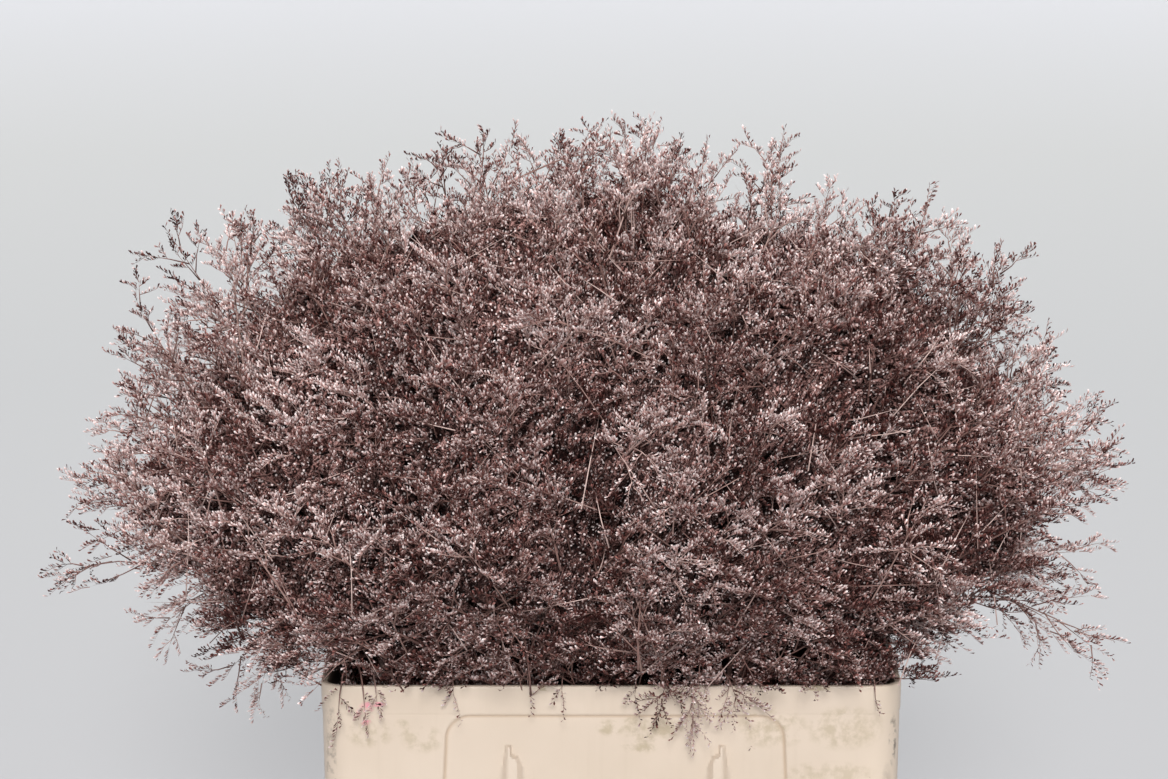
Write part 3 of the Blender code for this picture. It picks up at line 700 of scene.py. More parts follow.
# %% [markdown]
# A spike's own stalk is flat and arched, about half a millimetre wide, and its florets nearly hide
# it. A ribbon of three triangles follows the arch: two corners at the foot, two half way along and
# one at the tip.

# %% Ribbons for the stalks of the spikes
RIBBON = np.array(((0, 1, 3), (0, 3, 2), (2, 3, 4)))


def ribbons(twigs, foot_width, middle_width):
    """Centre + side width / 2 at the foot and half way, then the tip."""
    shares = np.tile((0.0, 0.5, 1.0), (len(twigs.length), 1))
    centres, along = twigs.at(shares), twigs.along(shares)
    side = nearest_side(along, square_to(twigs.heading, between(0, math.pi, len(twigs.length)))[:, None])
    foot, middle = side[:, 0] * foot_width / 2, side[:, 1] * middle_width / 2
    low, high, tip = centres[:, 0], centres[:, 1], centres[:, 2]
    corners = np.stack((low + foot, low - foot, high + middle, high - middle, tip), 1)
    return group(corners, RIBBON, shares[:, (0, 0, 1, 1, 2)], twigs)


# %% [markdown]
# ## Florets
#
# A dried floret is a papery cup that has closed to a spindle: narrow at its foot, widest near its
# mouth, about 4 mm long and 1.4 mm wide. Paper has no thickness to show at that size, so each one is a
# folded kite: foot, tip, and two side corners pushed back so that the fold stands out. The fold
# keeps it visible from every side. Along a spike the florets stand side by side on its upper side,
# like the teeth of a comb, in three close rows that lean forward.

# %% Rows of florets along the spikes
FLORETS = 11
FLORET_LENGTHS = (0.0032, 0.0048)
FLORET_HALF_WIDTHS = (0.0005, 0.0009)
FLORET_WAIST = 0.76
FLORET_LEANS = (0.60, 1.15)
ROW_SPREAD = 0.8
ROW_WANDER = 0.45
STEP_WANDER = 0.03
OUTWARD_SHARE, UPWARD_SHARE, SIDE_WANDER = 0.55, 0.45, 0.25
FOLD = 0.7
FLORET_TINT = 0.42
KITE = np.array(((0, 1, 2), (0, 2, 3)))


def folded_florets(spikes, count, first):
    """Kites: foot, foot + heading length, and two corners at the waist, half a width to each side.

    The corners lie back by the fold, which is a share of the half width.
    """
    shares = np.linspace(first, 1, count) + between(-STEP_WANDER, 0.0, (len(spikes.length), count))
    along = spikes.along(shares)
    outward = growing_way(spikes.root)[:, None]
    wander = dice.normal(0, SIDE_WANDER, (len(along), 1, 3))
    upper = nearest_side(along, OUTWARD_SHARE * outward + UPWARD_SHARE * UP + wander)
    across = np.cross(along, upper)
    row = (np.arange(count) * 2 % 3 - 1.0)[:, None]
    lean = between(*FLORET_LEANS, (*shares.shape, 1))
    side = unit(upper + across * (ROW_SPREAD * row + between(-ROW_WANDER, ROW_WANDER, lean.shape)))
    heading = unit(along * np.cos(lean) + side * np.sin(lean))
    wide = square_to(heading, between(0, math.pi, shares.shape))
    crest = np.cross(heading, wide)
    length = between(*FLORET_LENGTHS, lean.shape)
    half = between(*FLORET_HALF_WIDTHS, lean.shape)
    foot = spikes.at(shares)
    waist = foot + heading * length * FLORET_WAIST - crest * half * FOLD
    corners = np.stack((foot, waist + wide * half, foot + heading * length, waist - wide * half), 2)
    each = Twigs(*(np.repeat(getattr(spikes, name), count, 0) for name in Twigs.__dataclass_fields__))
    each.tint = each.tint + between(-FLORET_TINT, FLORET_TINT, len(each.tint))
    shade = np.tile((0.0, FLORET_WAIST, 1.0, FLORET_WAIST), (len(each.tint), 1))
    return group(corners.reshape(-1, 4, 3), KITE, shade, each)


florets = folded_florets(all_spikes, FLORETS, first=0.14)
stalks = [
    tubes(stems, 2.6 * MM, 2.0 * MM, rings=8, sides=7),
    tubes(all_axes, 0.9 * MM, 0.4 * MM, rings=4),
    tubes(bare, 0.52 * MM, 0.28 * MM, rings=2),
    tubes(all_branches, 0.62 * MM, 0.32 * MM, rings=2),
    ribbons(all_spikes, 0.6 * MM, 0.45 * MM),
]
foot_depths = depth_below(florets["corners"][::4]) / MM
print("depth of the florets in mm:", np.percentile(foot_depths, (5, 25, 50, 75, 95)).round())
print("florets:", len(florets["faces"]) // len(KITE))
print("stalk triangles:", sum(len(kind["faces"]) for kind in stalks))

# %% [markdown]
# ## Colours and nodes
#
# Colours are written as the hex values that a screen shows, and one function turns them to the
# linear values that Blender works with. One more function adds any kind of node with its
# properties, its colour stops and its inputs, and hands back its outputs. A pattern's scale comes
# from the size that its cells have on the real thing.

# %% Colour and node helpers
COLOURS = {"data_type": "RGBA"}


def linear(hex_colour):
    """sRGB hex to linear RGBA: c/12.92 below 0.04045, else ((c + 0.055) / 1.055)^2.4."""
    parts = np.array([int(hex_colour[i : i + 2], 16) for i in (1, 3, 5)]) / 255
    values = np.where(parts < 0.04045, parts / 12.92, ((parts + 0.055) / 1.055) ** 2.4)
    return (*values.tolist(), 1.0)


def add(tree, kind, settings=None, stops=(), **inputs):
    """Adds a node, sets its properties and (place, colour) stops, and sets or links its inputs.

    Inputs go by name, or by number after a line: _0 is the first. Text that is given is a colour.
    """
    node = tree.nodes.new("ShaderNode" + kind)
    for name, value in (settings or {}).items():
        setattr(node, name, value)
    for _ in stops[2:]:
        node.color_ramp.elements.new(0.5)
    for number, (place, colour) in enumerate(stops):
        element = node.color_ramp.elements[number]
        element.position, element.color = place, linear(colour)
    for name, value in inputs.items():
        socket = node.inputs[int(name[1:])] if name[0] == "_" else node.inputs[name.replace("_", " ")]
        if isinstance(value, bpy.types.NodeSocket):
            tree.links.new(value, socket)
        else:
            socket.default_value = linear(value) if isinstance(value, str) else value
    return node.outputs


def new_material(name, **shader_inputs):
    """A material with a Principled shader whose plain inputs are set on its own sockets."""
    made = bpy.data.materials.new(name)
    made.use_nodes = True
    shader = made.node_tree.nodes["Principled BSDF"]
    for socket, value in shader_inputs.items():
        shader.inputs[socket.replace("_", " ")].default_value = value
    return made, made.node_tree, shader


def cells(size):
    """The scale of a pattern whose cells measure a size in mm, in coordinates of metres."""
    return 1 / (size * MM)


# %% [markdown]
# ## Papery florets
#
# The calyx of dried statice is like thin paper. It stays matt, with a faint silky sheen, and its
# mouth is paler than its foot. The darkest foot is also painted shade where florets crowd the
# spike, and the whitest mouth a painted highlight, so that a spike looks dotted with light. Every
# corner of the meshes carries two numbers: its share of the way to the tip, and the tint of its
# branch. Ramps turn them to colours, so one material serves every floret without a picture.

# %% Papery florets
MOUTH_POWER = 2.3


def papery_floret():
    """Dried statice calyx, tinted: brown foot with painted shade, pale papery mouth with a painted
    highlight, slightly silky.

    Colour = foot + (mouth - foot) tip^2.3, and both follow the tint of the branch.
    """
    made, tree, shader = new_material(
        "dried_papery_floret_painted_shading", Roughness=0.55, Metallic=0.0, IOR=1.45, Specular_IOR_Level=0.25
    )
    tip, tint = (add(tree, "Attribute", {"attribute_name": look})["Fac"] for look in ("tip", "tint"))
    # The darkest foot stops are painted shade, and the whitest mouth stops a painted highlight.
    foot_stops_painted_shade = ((0.0, "#240c0a"), (0.5, "#693b34"), (1.0, "#c69a93"))
    mouth_stops_painted_highlight = ((0.0, "#4b2420"), (0.28, "#a67068"), (0.48, "#fbe6e2"), (1.0, "#ffffff"))
    foot = add(tree, "ValToRGB", stops=foot_stops_painted_shade, Fac=tint)[0]
    mouth = add(tree, "ValToRGB", stops=mouth_stops_painted_highlight, Fac=tint)[0]
    rise = add(tree, "Math", {"operation": "POWER"}, _0=tip, _1=MOUTH_POWER)[0]
    mixed = add(tree, "Mix", COLOURS, _0=rise, _6=foot, _7=mouth)[2]
    tree.links.new(mixed, shader.inputs["Base Color"])
    return made


# %% [markdown]
# ## Woody stalks
#
# The stalks are dry wood, tinted with the flowers. Age and handling leave them blotched along
# their length, so a soft noise is mixed with the tint before it picks the colour.

# %% Woody stalks
BLOTCH_SIZE = 5.5


def dry_twig():
    """Thin woody stalk, dried and tinted: mid brown-mauve, paler where it is young, dull."""
    made, tree, shader = new_material(
        "dried_woody_stalk", Roughness=0.62, Metallic=0.0, IOR=1.5, Specular_IOR_Level=0.3
    )
    tint = add(tree, "Attribute", {"attribute_name": "tint"})["Fac"]
    place = add(tree, "TexCoord")["Object"]
    blotches = add(tree, "TexNoise", Vector=place, Scale=cells(BLOTCH_SIZE), Detail=2.0)["Fac"]
    mixed = add(tree, "Mix", {"data_type": "FLOAT"}, _0=0.35, _2=tint, _3=blotches)[0]
    twig_stops = ((0.1, "#4e332f"), (0.5, "#8e6d65"), (0.9, "#d2b7af"))
    tree.links.new(add(tree, "ValToRGB", stops=twig_stops, Fac=mixed)[0], shader.inputs["Base Color"])
    return made


# %% [markdown]
# ## Florets in the shade
#
# Deep in the head only specks of the plant catch light. The surface behind the florets, which is
# made below, is painted with that light and shade: its pits are near black as painted shade, and
# it has three patterns, each at its real size: specks as wide as a floret, thin curls for stalks,
# and round dots for floret mouths, about 1.5 mm wide and 3 mm apart, pale partly as painted
# highlights.

# %% Shaded thatch
SPECK_SIZE, CURL_SIZE, DOT_SPACING = 2.6, 11.0, 3.0


def shaded_thatch():
    """Florets deep in the shade, painted: warm dark brown and near black pits as painted shade, mid brown
    points, thin stalks and pale dots partly as painted highlights.
    """
    made, tree, shader = new_material(
        "dried_thatch_painted_shade", Roughness=0.8, Metallic=0.0, IOR=1.45, Specular_IOR_Level=0.1
    )
    tip, tint = (add(tree, "Attribute", {"attribute_name": look})["Fac"] for look in ("tip", "tint"))
    place = add(tree, "TexCoord")["Object"]
    speckling = {"Scale": cells(SPECK_SIZE), "Detail": 2.0, "Roughness": 0.65, "Distortion": 1.5}
    specks = add(tree, "TexNoise", Vector=place, **speckling)["Fac"]
    # Near black pits are painted shade.
    painted_shade_pits = add(tree, "ValToRGB", stops=((0.46, "#060202"), (0.68, "#321815")), Fac=specks)[0]
    point_stops = ((0.42, "#150807"), (0.50, "#5f3b35"), (0.60, "#b68d87"))
    points = add(tree, "ValToRGB", stops=point_stops, Fac=specks)[0]
    rise = add(tree, "Math", {"operation": "MULTIPLY"}, _0=tip, _1=tint)[0]
    mixed = add(tree, "Mix", COLOURS, _0=rise, _6=painted_shade_pits, _7=points)[2]
    curls = add(tree, "TexNoise", Vector=place, Scale=cells(CURL_SIZE), Detail=1.0, Distortion=2.2)["Fac"]
    line_stops = ((0.485, "#000000"), (0.497, "#ffffff"), (0.503, "#ffffff"), (0.515, "#000000"))
    lines = add(tree, "ValToRGB", stops=line_stops, Fac=curls)[0]
    lit = add(tree, "Math", {"operation": "MULTIPLY"}, _0=lines, _1=tint)[0]
    lined = add(tree, "Mix", COLOURS, _0=lit, _6=mixed, _7="#b3918b")[2]
    # Pale dots are floret mouths, partly painted highlights.
    mouths = add(tree, "TexVoronoi", Vector=place, Scale=cells(DOT_SPACING))
    near = add(tree, "ValToRGB", stops=((0.20, "#ffffff"), (0.34, "#000000")), Fac=mouths["Distance"])[0]
    chance = add(tree, "SeparateColor", Color=mouths["Color"])["Red"]
    shown = add(tree, "Math", {"operation": "MULTIPLY"}, _0=near, _1=chance)[0]
    dotted = add(tree, "Mix", COLOURS, _0=shown, _6=lined, _7="#f6e4e1")[2]
    tree.links.new(dotted, shader.inputs["Base Color"])
    return made


FINISHES = [papery_floret(), dry_twig(), shaded_thatch()]
FLORET_FINISH, STALK_FINISH, THATCH_FINISH = range(3)
print("plant materials:", [finish.name for finish in FINISHES])

# %% [markdown]
# ## The thatch behind
#
# Behind the outer florets lie more of them, in the shade, down to where stems and leaf scraps
# close the view. Drawing every hidden floret would be wasteful. A thatch does their work: a
# surface a few centimetres inside the mound, on a fine grid whose every second corner stands up as
# a small point, so that each cell is a pale tip between dark pits, a painted highlight between
# painted shade. Its tint is painted paler on lumps and crumples and darker in their hollows, as
# painted light and shade. The grid covers a disc without a pole, because squares are stretched to
# rings, and rings are spaced so that all cells have about the same size on the mound.

# %% A grid of even cells over the mound
THATCH_CELLS = 288
THATCH_LOWEST = -0.12
HEAD_NARROWING = 0.6
PROFILE_STEPS = 400


def disc_grid(count):
    """Square rings stretched to circles: radius max(|a|, |b|), angle by the share along a side.

    The grid is moved a hundredth of a cell, so that no corner is in the middle, where a and b are 0.
    """
    line = (np.arange(count + 1) - count / 2 + 0.01) / (count / 2 + 0.02)
    a, b = np.meshgrid(line, line)
    wide = np.abs(a) > np.abs(b)
    radius = np.where(wide, a, b)
    angle = np.where(wide, math.pi / 4 * b / a, math.pi / 2 - math.pi / 4 * a / b)
    return radius * np.cos(angle), radius * np.sin(angle)


def thatch_ways(count):
    """Directions whose rings hold equal areas of the mound, from its top down to the lowest.

    The area above a height is the sum of profile step times distance from the upright axis.
    """
    x, y = disc_grid(count)
    height = np.linspace(math.pi / 2, THATCH_LOWEST, PROFILE_STEPS)
    profile = np.stack((np.cos(height), HEAD_NARROWING * np.cos(height), np.sin(height)), 1)
    points = profile / np.linalg.norm(profile, axis=1, keepdims=True)
    points = points * mound_reach(points)[:, None]
    steps = np.linalg.norm(np.diff(points, axis=0), axis=1)
    area = np.concatenate(([0.0], np.cumsum(steps * np.hypot(points[1:, 0], points[1:, 1]))))
    share = np.minimum(np.hypot(x, y), 1)
    height = np.interp(share**2, area / area[-1], height)
    azimuth = np.arctan2(y, x)
    return np.stack((np.cos(height) * np.cos(azimuth), np.cos(height) * np.sin(azimuth), np.sin(height)), 2)


# %% Raise every second corner, and share the thatch out between the bunches
THATCH_SCATTER = 0.0014
THATCH_CRUMPLE = 0.0075
TUFT_RISES = (0.001, 0.006)
# Painted light and shade of the thatch: paler on lumps and crumples, darker in their hollows
LUMP_PAINTED_SHADING, CRUMPLE_PAINTED_SHADING, CORNER_SHADES = 0.25, 0.4, (-0.3, 0.3)


def thatch():
    """Mouth's middle + way (reach - depth + lumps + tufts), with every corner moved at random."""
    ways = thatch_ways(THATCH_CELLS)
    reach = mound_reach(ways)
    surface = MOUTH_MIDDLE + ways * reach[..., None]
    raised = np.add.outer(np.arange(THATCH_CELLS + 1), np.arange(THATCH_CELLS + 1)) % 2 == 1
    tufts = np.where(raised, between(*TUFT_RISES, reach.shape), -between(0, TUFT_RISES[0], reach.shape))
    tufts = tufts + THATCH_CRUMPLE * crumples(surface)
    corners = MOUTH_MIDDLE + ways * (reach - thatch_depth(surface) + tufts)[..., None]
    corners = (corners + dice.normal(0, THATCH_SCATTER, corners.shape)).reshape(-1, 3)
    row, column = np.meshgrid(np.arange(THATCH_CELLS), np.arange(THATCH_CELLS), indexing="ij")
    here = row * (THATCH_CELLS + 1) + column
    above = here + THATCH_CELLS + 1
    first = np.stack((here, here + 1, above + 1), 2)
    second = np.stack((here, above + 1, above), 2)
    faces = np.stack((first, second), 2).reshape(-1, 3)
    # Raised corners take the pale tip colour as a painted highlight, low ones the dark pits as painted
    # shade.
    tip = raised.reshape(-1) * 1.0
    # Painted light and shade: paler on lumps and crumples, darker in their hollows; corner shades are
    # random tone.
    shade = 0.5 + LUMP_PAINTED_SHADING * lumps(corners) + CRUMPLE_PAINTED_SHADING * crumples(surface.reshape(-1, 3))
    tint = np.clip(shade + between(*CORNER_SHADES, len(corners)), 0, 1)
    bunch = bunch_of(corners[faces].mean(1))
    return {"corners": corners, "faces": faces, "tip": tip, "tint": tint, "bunch": bunch}


tangle = thatch()
print("thatch triangles:", len(tangle["faces"]))

# %% [markdown]
# ## From arrays to pieces
#
# Each bunch becomes one mesh object. Its florets, stalks and tangle are laid one after another in
# the arrays, and every triangle has the number of its material.

# %% Build the ten bunches
def part_of(shape, bunch):
    """The faces of one bunch with only the corners that they use."""
    faces = shape["faces"][shape["bunch"] == bunch]
    used, places = np.unique(faces, return_inverse=True)
    return shape["corners"][used], places.reshape(-1, 3), shape["tip"][used], shape["tint"][used]


def statice_piece(name, groups, finishes):
    """One mesh object from groups of corners, triangles and looks, a material for each group."""
    starts = np.cumsum([0] + [len(g[0]) for g in groups])
    corners = np.concatenate([g[0] for g in groups])
    faces = np.concatenate([g[1] + start for g, start in zip(groups, starts)])
    mesh = bpy.data.meshes.new(name)
    mesh.vertices.add(len(corners))
    mesh.loops.add(faces.size)
    mesh.polygons.add(len(faces))
    mesh.vertices.foreach_set("co", corners.ravel())
    mesh.loops.foreach_set("vertex_index", faces.ravel())
    mesh.polygons.foreach_set("loop_start", np.arange(0, faces.size, 3))
    mesh.polygons.foreach_set("material_index", np.repeat(finishes, [len(g[1]) for g in groups]))
    for look, column in (("tip", 2), ("tint", 3)):
        values = np.concatenate([g[column] for g in groups])
        mesh.attributes.new(look, "FLOAT", "POINT").data.foreach_set("value", values)
    mesh.update()
    mesh.validate()
    for finish in FINISHES:
        mesh.materials.append(finish)
    return placed(name, mesh)


finishes = [FLORET_FINISH, *[STALK_FINISH] * len(stalks), THATCH_FINISH]
for number, node in enumerate(BUNCHES):
    groups = [part_of(shape, number) for shape in (florets, *stalks, tangle)]
    piece = statice_piece(node.replace("bunch", "statice"), groups, finishes)
    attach(piece, BODY)
    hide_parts(node)
    print(piece.name, len(piece.data.polygons), "triangles")

# %% [markdown]
# ## The tub
#
# Flower tubs are injection-moulded, about 3.5 mm thick, with a stiffer band round the rim, a
# panel pressed in by 2 mm and two ribs that keep nested tubs apart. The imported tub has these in
# flat facets. This one replaces it with the same sizes and true rounds. It is a profile carried
# round a rectangle with round corners: every ring is the same rectangle at its own height and
# inset. Turning by half a turn leaves the tub unchanged, so half of each ring is enough.

# %% Profile of the tub: inset from the outside, and height
TUB_SIZE = np.array((0.400, 0.300))
DRAFT = 0.006
CORNER_RADIUS = 0.019
WALL, RIM_BAND, RIM_STEP, RIM_ROUND, BASE_ROUND = 0.0035, 0.020, 0.0005, 0.0015, 0.008
BAND_SLOPE = ((RIM_STEP, -0.0004), (0.0002, 0.0002), (0.0, 0.001))
INNER_LEVELS = (0.16, 0.012)
WALL_LEVELS = (
    (0.012, 4), (0.079, 10), (0.104, 5), (0.180, 7), (0.240, 2),
    (0.262, 13), (0.279, 5), (0.284, 8), (0.2955, 14),
)


def steps_through(rows, end):
    """Even steps from each row's start to the next one's, as many as the row says, up to the end."""
    starts, counts = zip(*rows)
    stretches = zip(starts, (*starts[1:], end), counts)
    return np.concatenate([np.linspace(low, high, count, endpoint=False) for low, high, count in stretches])


def quarter(inset, height, radius, start, count=4):
    """Points of a quarter circle: centre + radius (cos, sin), from a start angle in degrees."""
    angle = np.radians(start - np.linspace(0, 90, count))
    return np.stack((inset + radius * np.cos(angle), height + radius * np.sin(angle)), 1)


def tub_profile():
    """Rows of (inset, height): up the outside, over the rim and down the inside."""
    band = RIM - RIM_BAND
    heights = steps_through(WALL_LEVELS, band + BAND_SLOPE[0][1])
    inside = RIM_STEP + WALL
    return np.concatenate((
        quarter(BASE_ROUND + RIM_STEP, BASE_ROUND, BASE_ROUND, 270, 6),
        np.stack((np.full(len(heights), RIM_STEP), heights), 1),
        [(inset, band + up) for inset, up in BAND_SLOPE],
        quarter(RIM_ROUND, RIM - RIM_ROUND, RIM_ROUND, 180),
        quarter(RIM_WALL - RIM_ROUND, RIM - RIM_ROUND, RIM_ROUND, 90),
        ((RIM_WALL, RIM - 0.009), (inside, RIM - 0.014), *((inside, level) for level in INNER_LEVELS)),
        ((inside + 0.001, 0.0055), (BASE_ROUND + RIM_STEP, WALL)),
    ))


print("points in the tub's profile:", len(tub_profile()))

# %% [markdown]
# The panel and the ribs are a relief: a distance by which each point of the front face is moved
# in or out. The panel's outline is a rounded box that widens downwards. A rib rises steeply on
# its inner side and flatly on its outer side, and its levels say how it fades in and out with
# height. The relief also says how near the crease round the panel is, and the plastic is darkened
# there as painted shade.

# %% Panel and ribs as relief on the front face
PANEL_TOP, PANEL_FOOT = RIM - 0.021, RIM - 0.236
PANEL_HALF, PANEL_FLARE, PANEL_RADIUS, PANEL_RECESS, PANEL_SHIFT = 0.116, 0.010, 0.016, 0.0018, 0.0027
PANEL_BEVEL = 0.0010
CREASE_WIDTH = 0.0016
RIB_OUTER = 0.0743
RIB_DATUM = RIM - 0.050
# Each level: height over the datum, outer slope, face, inner slope, and how far the rib stands out
RIB_LEVELS = np.array((
    (-0.0950, 0.0060, 0.0071, 0.0056, 0.0010), (-0.0850, 0.0084, 0.0071, 0.0078, 0.0084),
    (-0.0300, 0.0078, 0.0071, 0.0072, 0.0080), (-0.0060, 0.0040, 0.0071, 0.0040, 0.0045),
    (-0.0015, 0.0034, 0.0060, 0.0026, 0.0038), (0.0005, 0.0032, 0.0025, 0.0010, 0.0035),
    (0.0070, 0.0022, 0.0022, 0.0008, 0.0025),
))
RIB_FOOT, RIB_FOOT_FADE, RIB_TOP, RIB_TOP_FADE = -0.097, 0.004, 0.0078, 0.0012


def down_panel(height):
    """Share of the way down the panel, 0 at its top and 1 at its foot."""
    return np.clip((PANEL_TOP - height) / (PANEL_TOP - PANEL_FOOT), 0, 1)


def tub_relief(across, height):
    """How far the face stands out, and how near a crease, which gets painted shade: a recess in a rounded
    box, plus the ribs.

    The distance to a rounded box is length(max(q, 0)) + min(max(q), 0) - radius, where
    q = |place - centre| - half size + radius. A rib's section is a trapezium whose corners are
    read off its levels at each height.
    """
    x = np.abs(across - PANEL_SHIFT)
    half = PANEL_HALF + PANEL_FLARE * down_panel(height)
    middle, tall = (PANEL_TOP + PANEL_FOOT) / 2, (PANEL_TOP - PANEL_FOOT) / 2
    box = np.stack(np.broadcast_arrays(x - half, np.abs(height - middle) - tall), -1) + PANEL_RADIUS
    away = np.linalg.norm(np.maximum(box, 0), axis=-1) + np.minimum(box.max(-1), 0) - PANEL_RADIUS
    inside = np.clip(0.5 - away / (2 * PANEL_BEVEL), 0, 1)
    inside = inside * inside * (3 - 2 * inside)
    up = height - RIB_DATUM
    levels, *sections = RIB_LEVELS.T
    outer_slope, face, inner_slope, proud = (np.interp(up, levels, section) for section in sections)
    outer = (RIB_OUTER + outer_slope - x) / outer_slope
    inner = (x - (RIB_OUTER - face - inner_slope)) / inner_slope
    rib = np.clip(np.minimum(outer, inner), 0, 1) * (proud + WALL / 2) - WALL / 2
    ends = np.clip((up - RIB_FOOT) / RIB_FOOT_FADE, 0, 1) * np.clip((RIB_TOP - up) / RIB_TOP_FADE, 0, 1)
    # Near the crease round the panel the plastic gets painted shade.
    painted_crease_shade = np.clip(1 - np.abs(away + PANEL_BEVEL) / CREASE_WIDTH, 0, 1)
    return np.maximum(rib, 0) * ends - PANEL_RECESS * inside, painted_crease_shade


# %% [markdown]
# The front face has closely spaced columns where the ribs and the panel's edges are, and few
# elsewhere. They lean with the panel's sides, so that its edges run along columns and stay crisp.

# %% Carry the profile round the tub
FACE_COLUMNS = ((0.0, 4), (0.0555, 24), (0.0845, 3), (0.0985, 10), (0.1125, 12), (0.1185, 4))
FACE_END = 0.176
LEAN_START, LEAN_FADE, LEAN_END_FADE = 0.085, 0.013, 0.05
CORNER_POINTS, SIDE_POINTS = 9, 11
SHARP_DEGREES = 35


def tub_half(profile):
    """Half of every ring: front face, corner, right side, corner. Rows by points by (x, y, z)."""
    inset, height = profile[:, :1], profile[:, 1:]
    half = TUB_SIZE / 2 - DRAFT * (1 - height / RIM) - inset
    radius = CORNER_RADIUS - inset
    columns = steps_through(FACE_COLUMNS, FACE_END)
    across = (np.concatenate((-columns[:0:-1], columns)) + PANEL_SHIFT)[None]
    lean = np.clip((np.abs(across - PANEL_SHIFT) - LEAN_START) / LEAN_FADE, 0, 1) * np.sign(across)
    ending = np.clip((FACE_END - np.abs(across)) / LEAN_END_FADE, 0, 1)
    front_x = across + lean * PANEL_FLARE * down_panel(height) * ending
    outside = np.arange(len(profile))[:, None] < np.argmax(profile[:, 1])
    relief, painted_crease_shade = (np.where(outside, part, 0) for part in tub_relief(front_x, height))
    turn = np.radians(np.linspace(-90, 0, CORNER_POINTS))
    corner_x = half[:, :1] - radius + radius * np.cos(turn)
    corner_y = -half[:, 1:] + radius + radius * np.sin(turn)
    side_y = np.linspace(-1, 1, SIDE_POINTS)[None, 1:-1] * (half[:, 1:] - radius)
    side_x = half[:, :1] + 0 * side_y
    turn = np.radians(np.linspace(0, 90, CORNER_POINTS))
    back_x = half[:, :1] - radius + radius * np.cos(turn)
    back_y = half[:, 1:] - radius + radius * np.sin(turn)
    x = np.concatenate((front_x, corner_x, side_x, back_x), 1)
    y = np.concatenate((-half[:, 1:] - relief, corner_y, side_y, back_y), 1)
    painted_crease_shade = np.pad(painted_crease_shade, ((0, 0), (0, x.shape[1] - painted_crease_shade.shape[1])))
    return np.stack((x, y, height + 0 * x), 2), painted_crease_shade


def ring_faces(rows, around):
    """Quads between closed rings of points: here, next, next on the ring above, above."""
    row, column = np.meshgrid(np.arange(rows - 1), np.arange(around), indexing="ij")
    here, after = row * around + column, row * around + (column + 1) % around
    return np.stack((here, after, after + around, here + around), 2).reshape(-1, 4).tolist()


def moulded_tub():
    """Quads between rings, and one flat face each to close the base and the floor inside."""
    half, painted_crease_shade = tub_half(tub_profile())
    rings = np.concatenate((half, half * (-1, -1, 1)), 1)
    rows, around = rings.shape[:2]
    quads = ring_faces(rows, around)
    caps = [list(range(around))[::-1], list(range((rows - 1) * around, rows * around))]
    mesh = bpy.data.meshes.new("moulded_tub")
    mesh.from_pydata(rings.reshape(-1, 3).tolist(), [], quads + caps)
    mesh.shade_smooth()
    mesh.set_sharp_from_angle(angle=math.radians(SHARP_DEGREES))
    painted_crease_shades = np.concatenate((painted_crease_shade, painted_crease_shade), 1).ravel()
    mesh.attributes.new("painted_crease_shade", "FLOAT", "POINT").data.foreach_set("value", painted_crease_shades)
    print("tub triangles:", 2 * len(quads) + 2 * around)
    return placed("moulded_tub", mesh)


# %% [markdown]
# The plastic is polypropylene, cream, satin and slightly mottled. Years of washing and stacking
# leave marks: yellow-grey stains where labels sat, streaks down the face, scuffs on the corners and
# a pink smear. Each mark is a place and a size on the front. Noise breaks it up, so that it has
# no drawn edge. The grain of the mould is finer than a pixel, so it is drawn coarser, at 1.1 mm.

# %% Marks on the front: across, down from the rim, half width, half height, strength
STAINS = (
    (0.000, -0.030, 0.010, 0.006, 0.9), (0.038, -0.030, 0.012, 0.008, 0.9),
    (0.017, -0.028, 0.010, 0.007, 0.8), (0.020, -0.041, 0.013, 0.008, 0.9),
    (-0.166, -0.033, 0.016, 0.011, 0.7), (-0.144, -0.030, 0.006, 0.006, 0.8),
    (-0.130, -0.038, 0.014, 0.010, 0.6), (0.110, -0.030, 0.024, 0.014, 0.8),
    (0.160, -0.030, 0.026, 0.015, 0.7), (0.150, -0.062, 0.030, 0.008, 0.6),
    (-0.044, -0.0015, 0.010, 0.002, 1.4), (0.142, -0.0015, 0.011, 0.002, 1.4),
)
SCUFFS = (
    (-0.193, -0.060, 0.004, 0.052, 0.8), (0.194, -0.040, 0.003, 0.018, 1.2),
    (0.190, -0.120, 0.006, 0.060, 0.6), (0.080, -0.270, 0.070, 0.030, 0.16),
    (-0.080, -0.280, 0.060, 0.025, 0.14),
)
SMEAR = ((-0.169, -0.0195, 0.006, 0.008, 1.0), (-0.163, -0.013, 0.008, 0.002, 0.8))
MARK_FACE, MARK_DEPTH = -0.149, 0.02
MARK_FADE = {"From Min": 0.75, "From Max": 1.15, "To Max": 0.0}


def marks(tree, place, spots, breakup):
    """The largest strength of the spots, each fading out at its edge, times the noise."""
    total = 0.0
    for x, down, wide, tall, strength in spots:
        centre, size = (x, MARK_FACE, RIM + down), (wide, MARK_DEPTH, tall)
        from_spot = add(tree, "VectorMath", {"operation": "SUBTRACT"}, _0=place, _1=centre)[0]
        scaled = add(tree, "VectorMath", {"operation": "DIVIDE"}, _0=from_spot, _1=size)[0]
        away = add(tree, "VectorMath", {"operation": "LENGTH"}, _0=scaled)["Value"]
        near = add(tree, "MapRange", Value=away, To_Min=strength, **MARK_FADE)[0]
        total = add(tree, "Math", {"operation": "MAXIMUM"}, _0=total, _1=near)[0]
    return add(tree, "Math", {"operation": "MULTIPLY", "use_clamp": True}, _0=total, _1=breakup)[0]


# %% Cream plastic
MOTTLE_SIZE, PATCH_SIZE, GRAIN_SIZE = 70, 10.5, 1.1
STREAK_SIZES = (6.7, 6.7, 110)
# Strength of the painted shade in the crease round the panel
CREASE_PAINTED_SHADE_STRENGTH = 0.75


